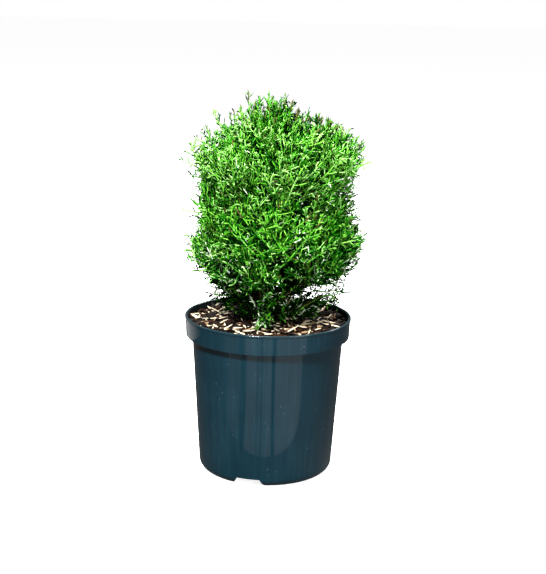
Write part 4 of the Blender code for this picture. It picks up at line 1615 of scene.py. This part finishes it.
def place_fans():
    """Piles of points and triangles, one for each shade."""
    dice = np.random.default_rng([SEED, 2000])
    piles = [[] for _ in SHADES]
    for _, root, way, length, roll, lift in fans + inner_fans:
        size = min(FAN_SIZES, key=lambda value: abs(value - length))
        tip = root + way * length
        form = "sprig" if tip[2] > SPRIG_HEIGHT else dice.choice(("slender", "broad"))
        parts = templates[form, size][dice.integers(FANS_PER_SIZE)]
        axes = fan_axes(way, roll)
        # A fan bows a little, so that it flows out from the plant's foot.
        goal = root - FLOW_SOURCE
        goal /= np.linalg.norm(goal)
        bow = (goal - way * (goal @ way)) * BOW * dice.uniform(0.5, 1.3)
        curl, cup = dice.normal(0, 0.08), dice.normal(0, 0.9)
        # Painted light and shade: a fan's green follows its depth and height.
        shade = fan_shade(root + way * length * 0.6, lift + dice.normal(0, 0.2))
        # Low down the shoots' steps spread wider: stronger painted highlights and shade.
        lowness = max(0, CONTRAST_HEIGHT - tip[2])
        spread = 1 + LOW_SPREAD * lowness
        for step, places, triangles in parts:
            local = places * (length / size)
            flat = local[:, 0] / length
            arch = (flat**2 - flat) * length * 0.5
            local[:, 2] += curl * length * (flat**2 - flat) + cup * local[:, 1] ** 2 / length
            lifted = shade + spread * PLAIN_LIFTS.get(step, step)
            pick = int(np.clip(round(lifted), 0, GREENS - 1))
            if step == "end" and dice.uniform() < BRONZE_SHARE[form]:
                pick = BRONZE
            # Painted highlight: some of the lightest shoots go silver-pale, more of them low down.
            if step == SHADE_STEPS[-1] and dice.uniform() < SILVER_HIGHLIGHT_SHARE + lowness * LOW_SILVER_HIGHLIGHT:
                pick = SILVER_HIGHLIGHT
            piles[pick].append((local @ axes + root + arch[:, None] * bow, triangles))
    return piles


piles = place_fans()
print("triangles by shade:", [sum(len(item[1]) for item in pile) for pile in piles])


# %% Join them by shade
def join_sprays():
    """Joined pieces of one shade each, a new one begun when a piece passes MOST_TRIANGLES triangles."""
    foliage = ["foliage_" + mass.name for mass in masses]
    total = 0
    for (name, colour, shine), pile in zip(SHADES, piles):
        finish = leaf_finish(name, colour, shine)
        number, gathered, held = 1, Pile(), 0
        for place, item in enumerate(pile):
            gathered.add(*item)
            held += len(item[1])
            if held > MOST_TRIANGLES or place == len(pile) - 1:
                piece = f"sprays_{name}_{number}"
                finished_piece(piece, gathered.mesh(piece), finish, "thuja_green", *foliage)
                print(piece, held)
                total += held
                number, gathered, held = number + 1, Pile(), 0
    return total


print("spray triangles:", join_sprays())

# %% [markdown]
# ## Stems and twigs
#
# Every fan hangs on a twig, and the twigs grow from the stem of their mass. Most of this hides in
# the leaves, but where the crown opens the eye follows a spray back to its limb.

# %% Stems and twigs
STEM_SIDES = 7
TWIG_SIDES = 5
TWIG_STEPS = 4
TWIG_TIP_RADIUS = 0.0005
SHORTEST_TWIG = 0.004


def make_twigs():
    """The stem of every mass and the twig that carries each fan, joined."""
    pile = Pile()
    for mass in masses:
        end = mass.target - mass.way * SPRAY_LENGTH * 0.5
        course = smooth_course([mass.start, mass.start.lerp(end, 0.5), end], 10)
        pile.add(*tube(course, np.linspace(STEM_RADIUS[0], TWIG_TIP_RADIUS, len(course)), STEM_SIDES))
    for base, root, way, *_ in fans:
        if np.linalg.norm(root - base) > SHORTEST_TWIG:
            course = smooth_course([base, (base + root) / 2, root + way * SHORTEST_TWIG], TWIG_STEPS)
            pile.add(*tube(course, np.linspace(STEM_RADIUS[1], TWIG_TIP_RADIUS, len(course)), TWIG_SIDES))
    data = pile.mesh("twigs")
    data.shade_smooth()
    olive = bark_finish("twig_bark", 1100.0, linear(62, 54, 26), linear(82, 98, 34), linear(100, 134, 46))
    return finished_piece("twigs", data, olive, "young_bark")


twigs = make_twigs()
print("twig triangles:", len(twigs.data.polygons))
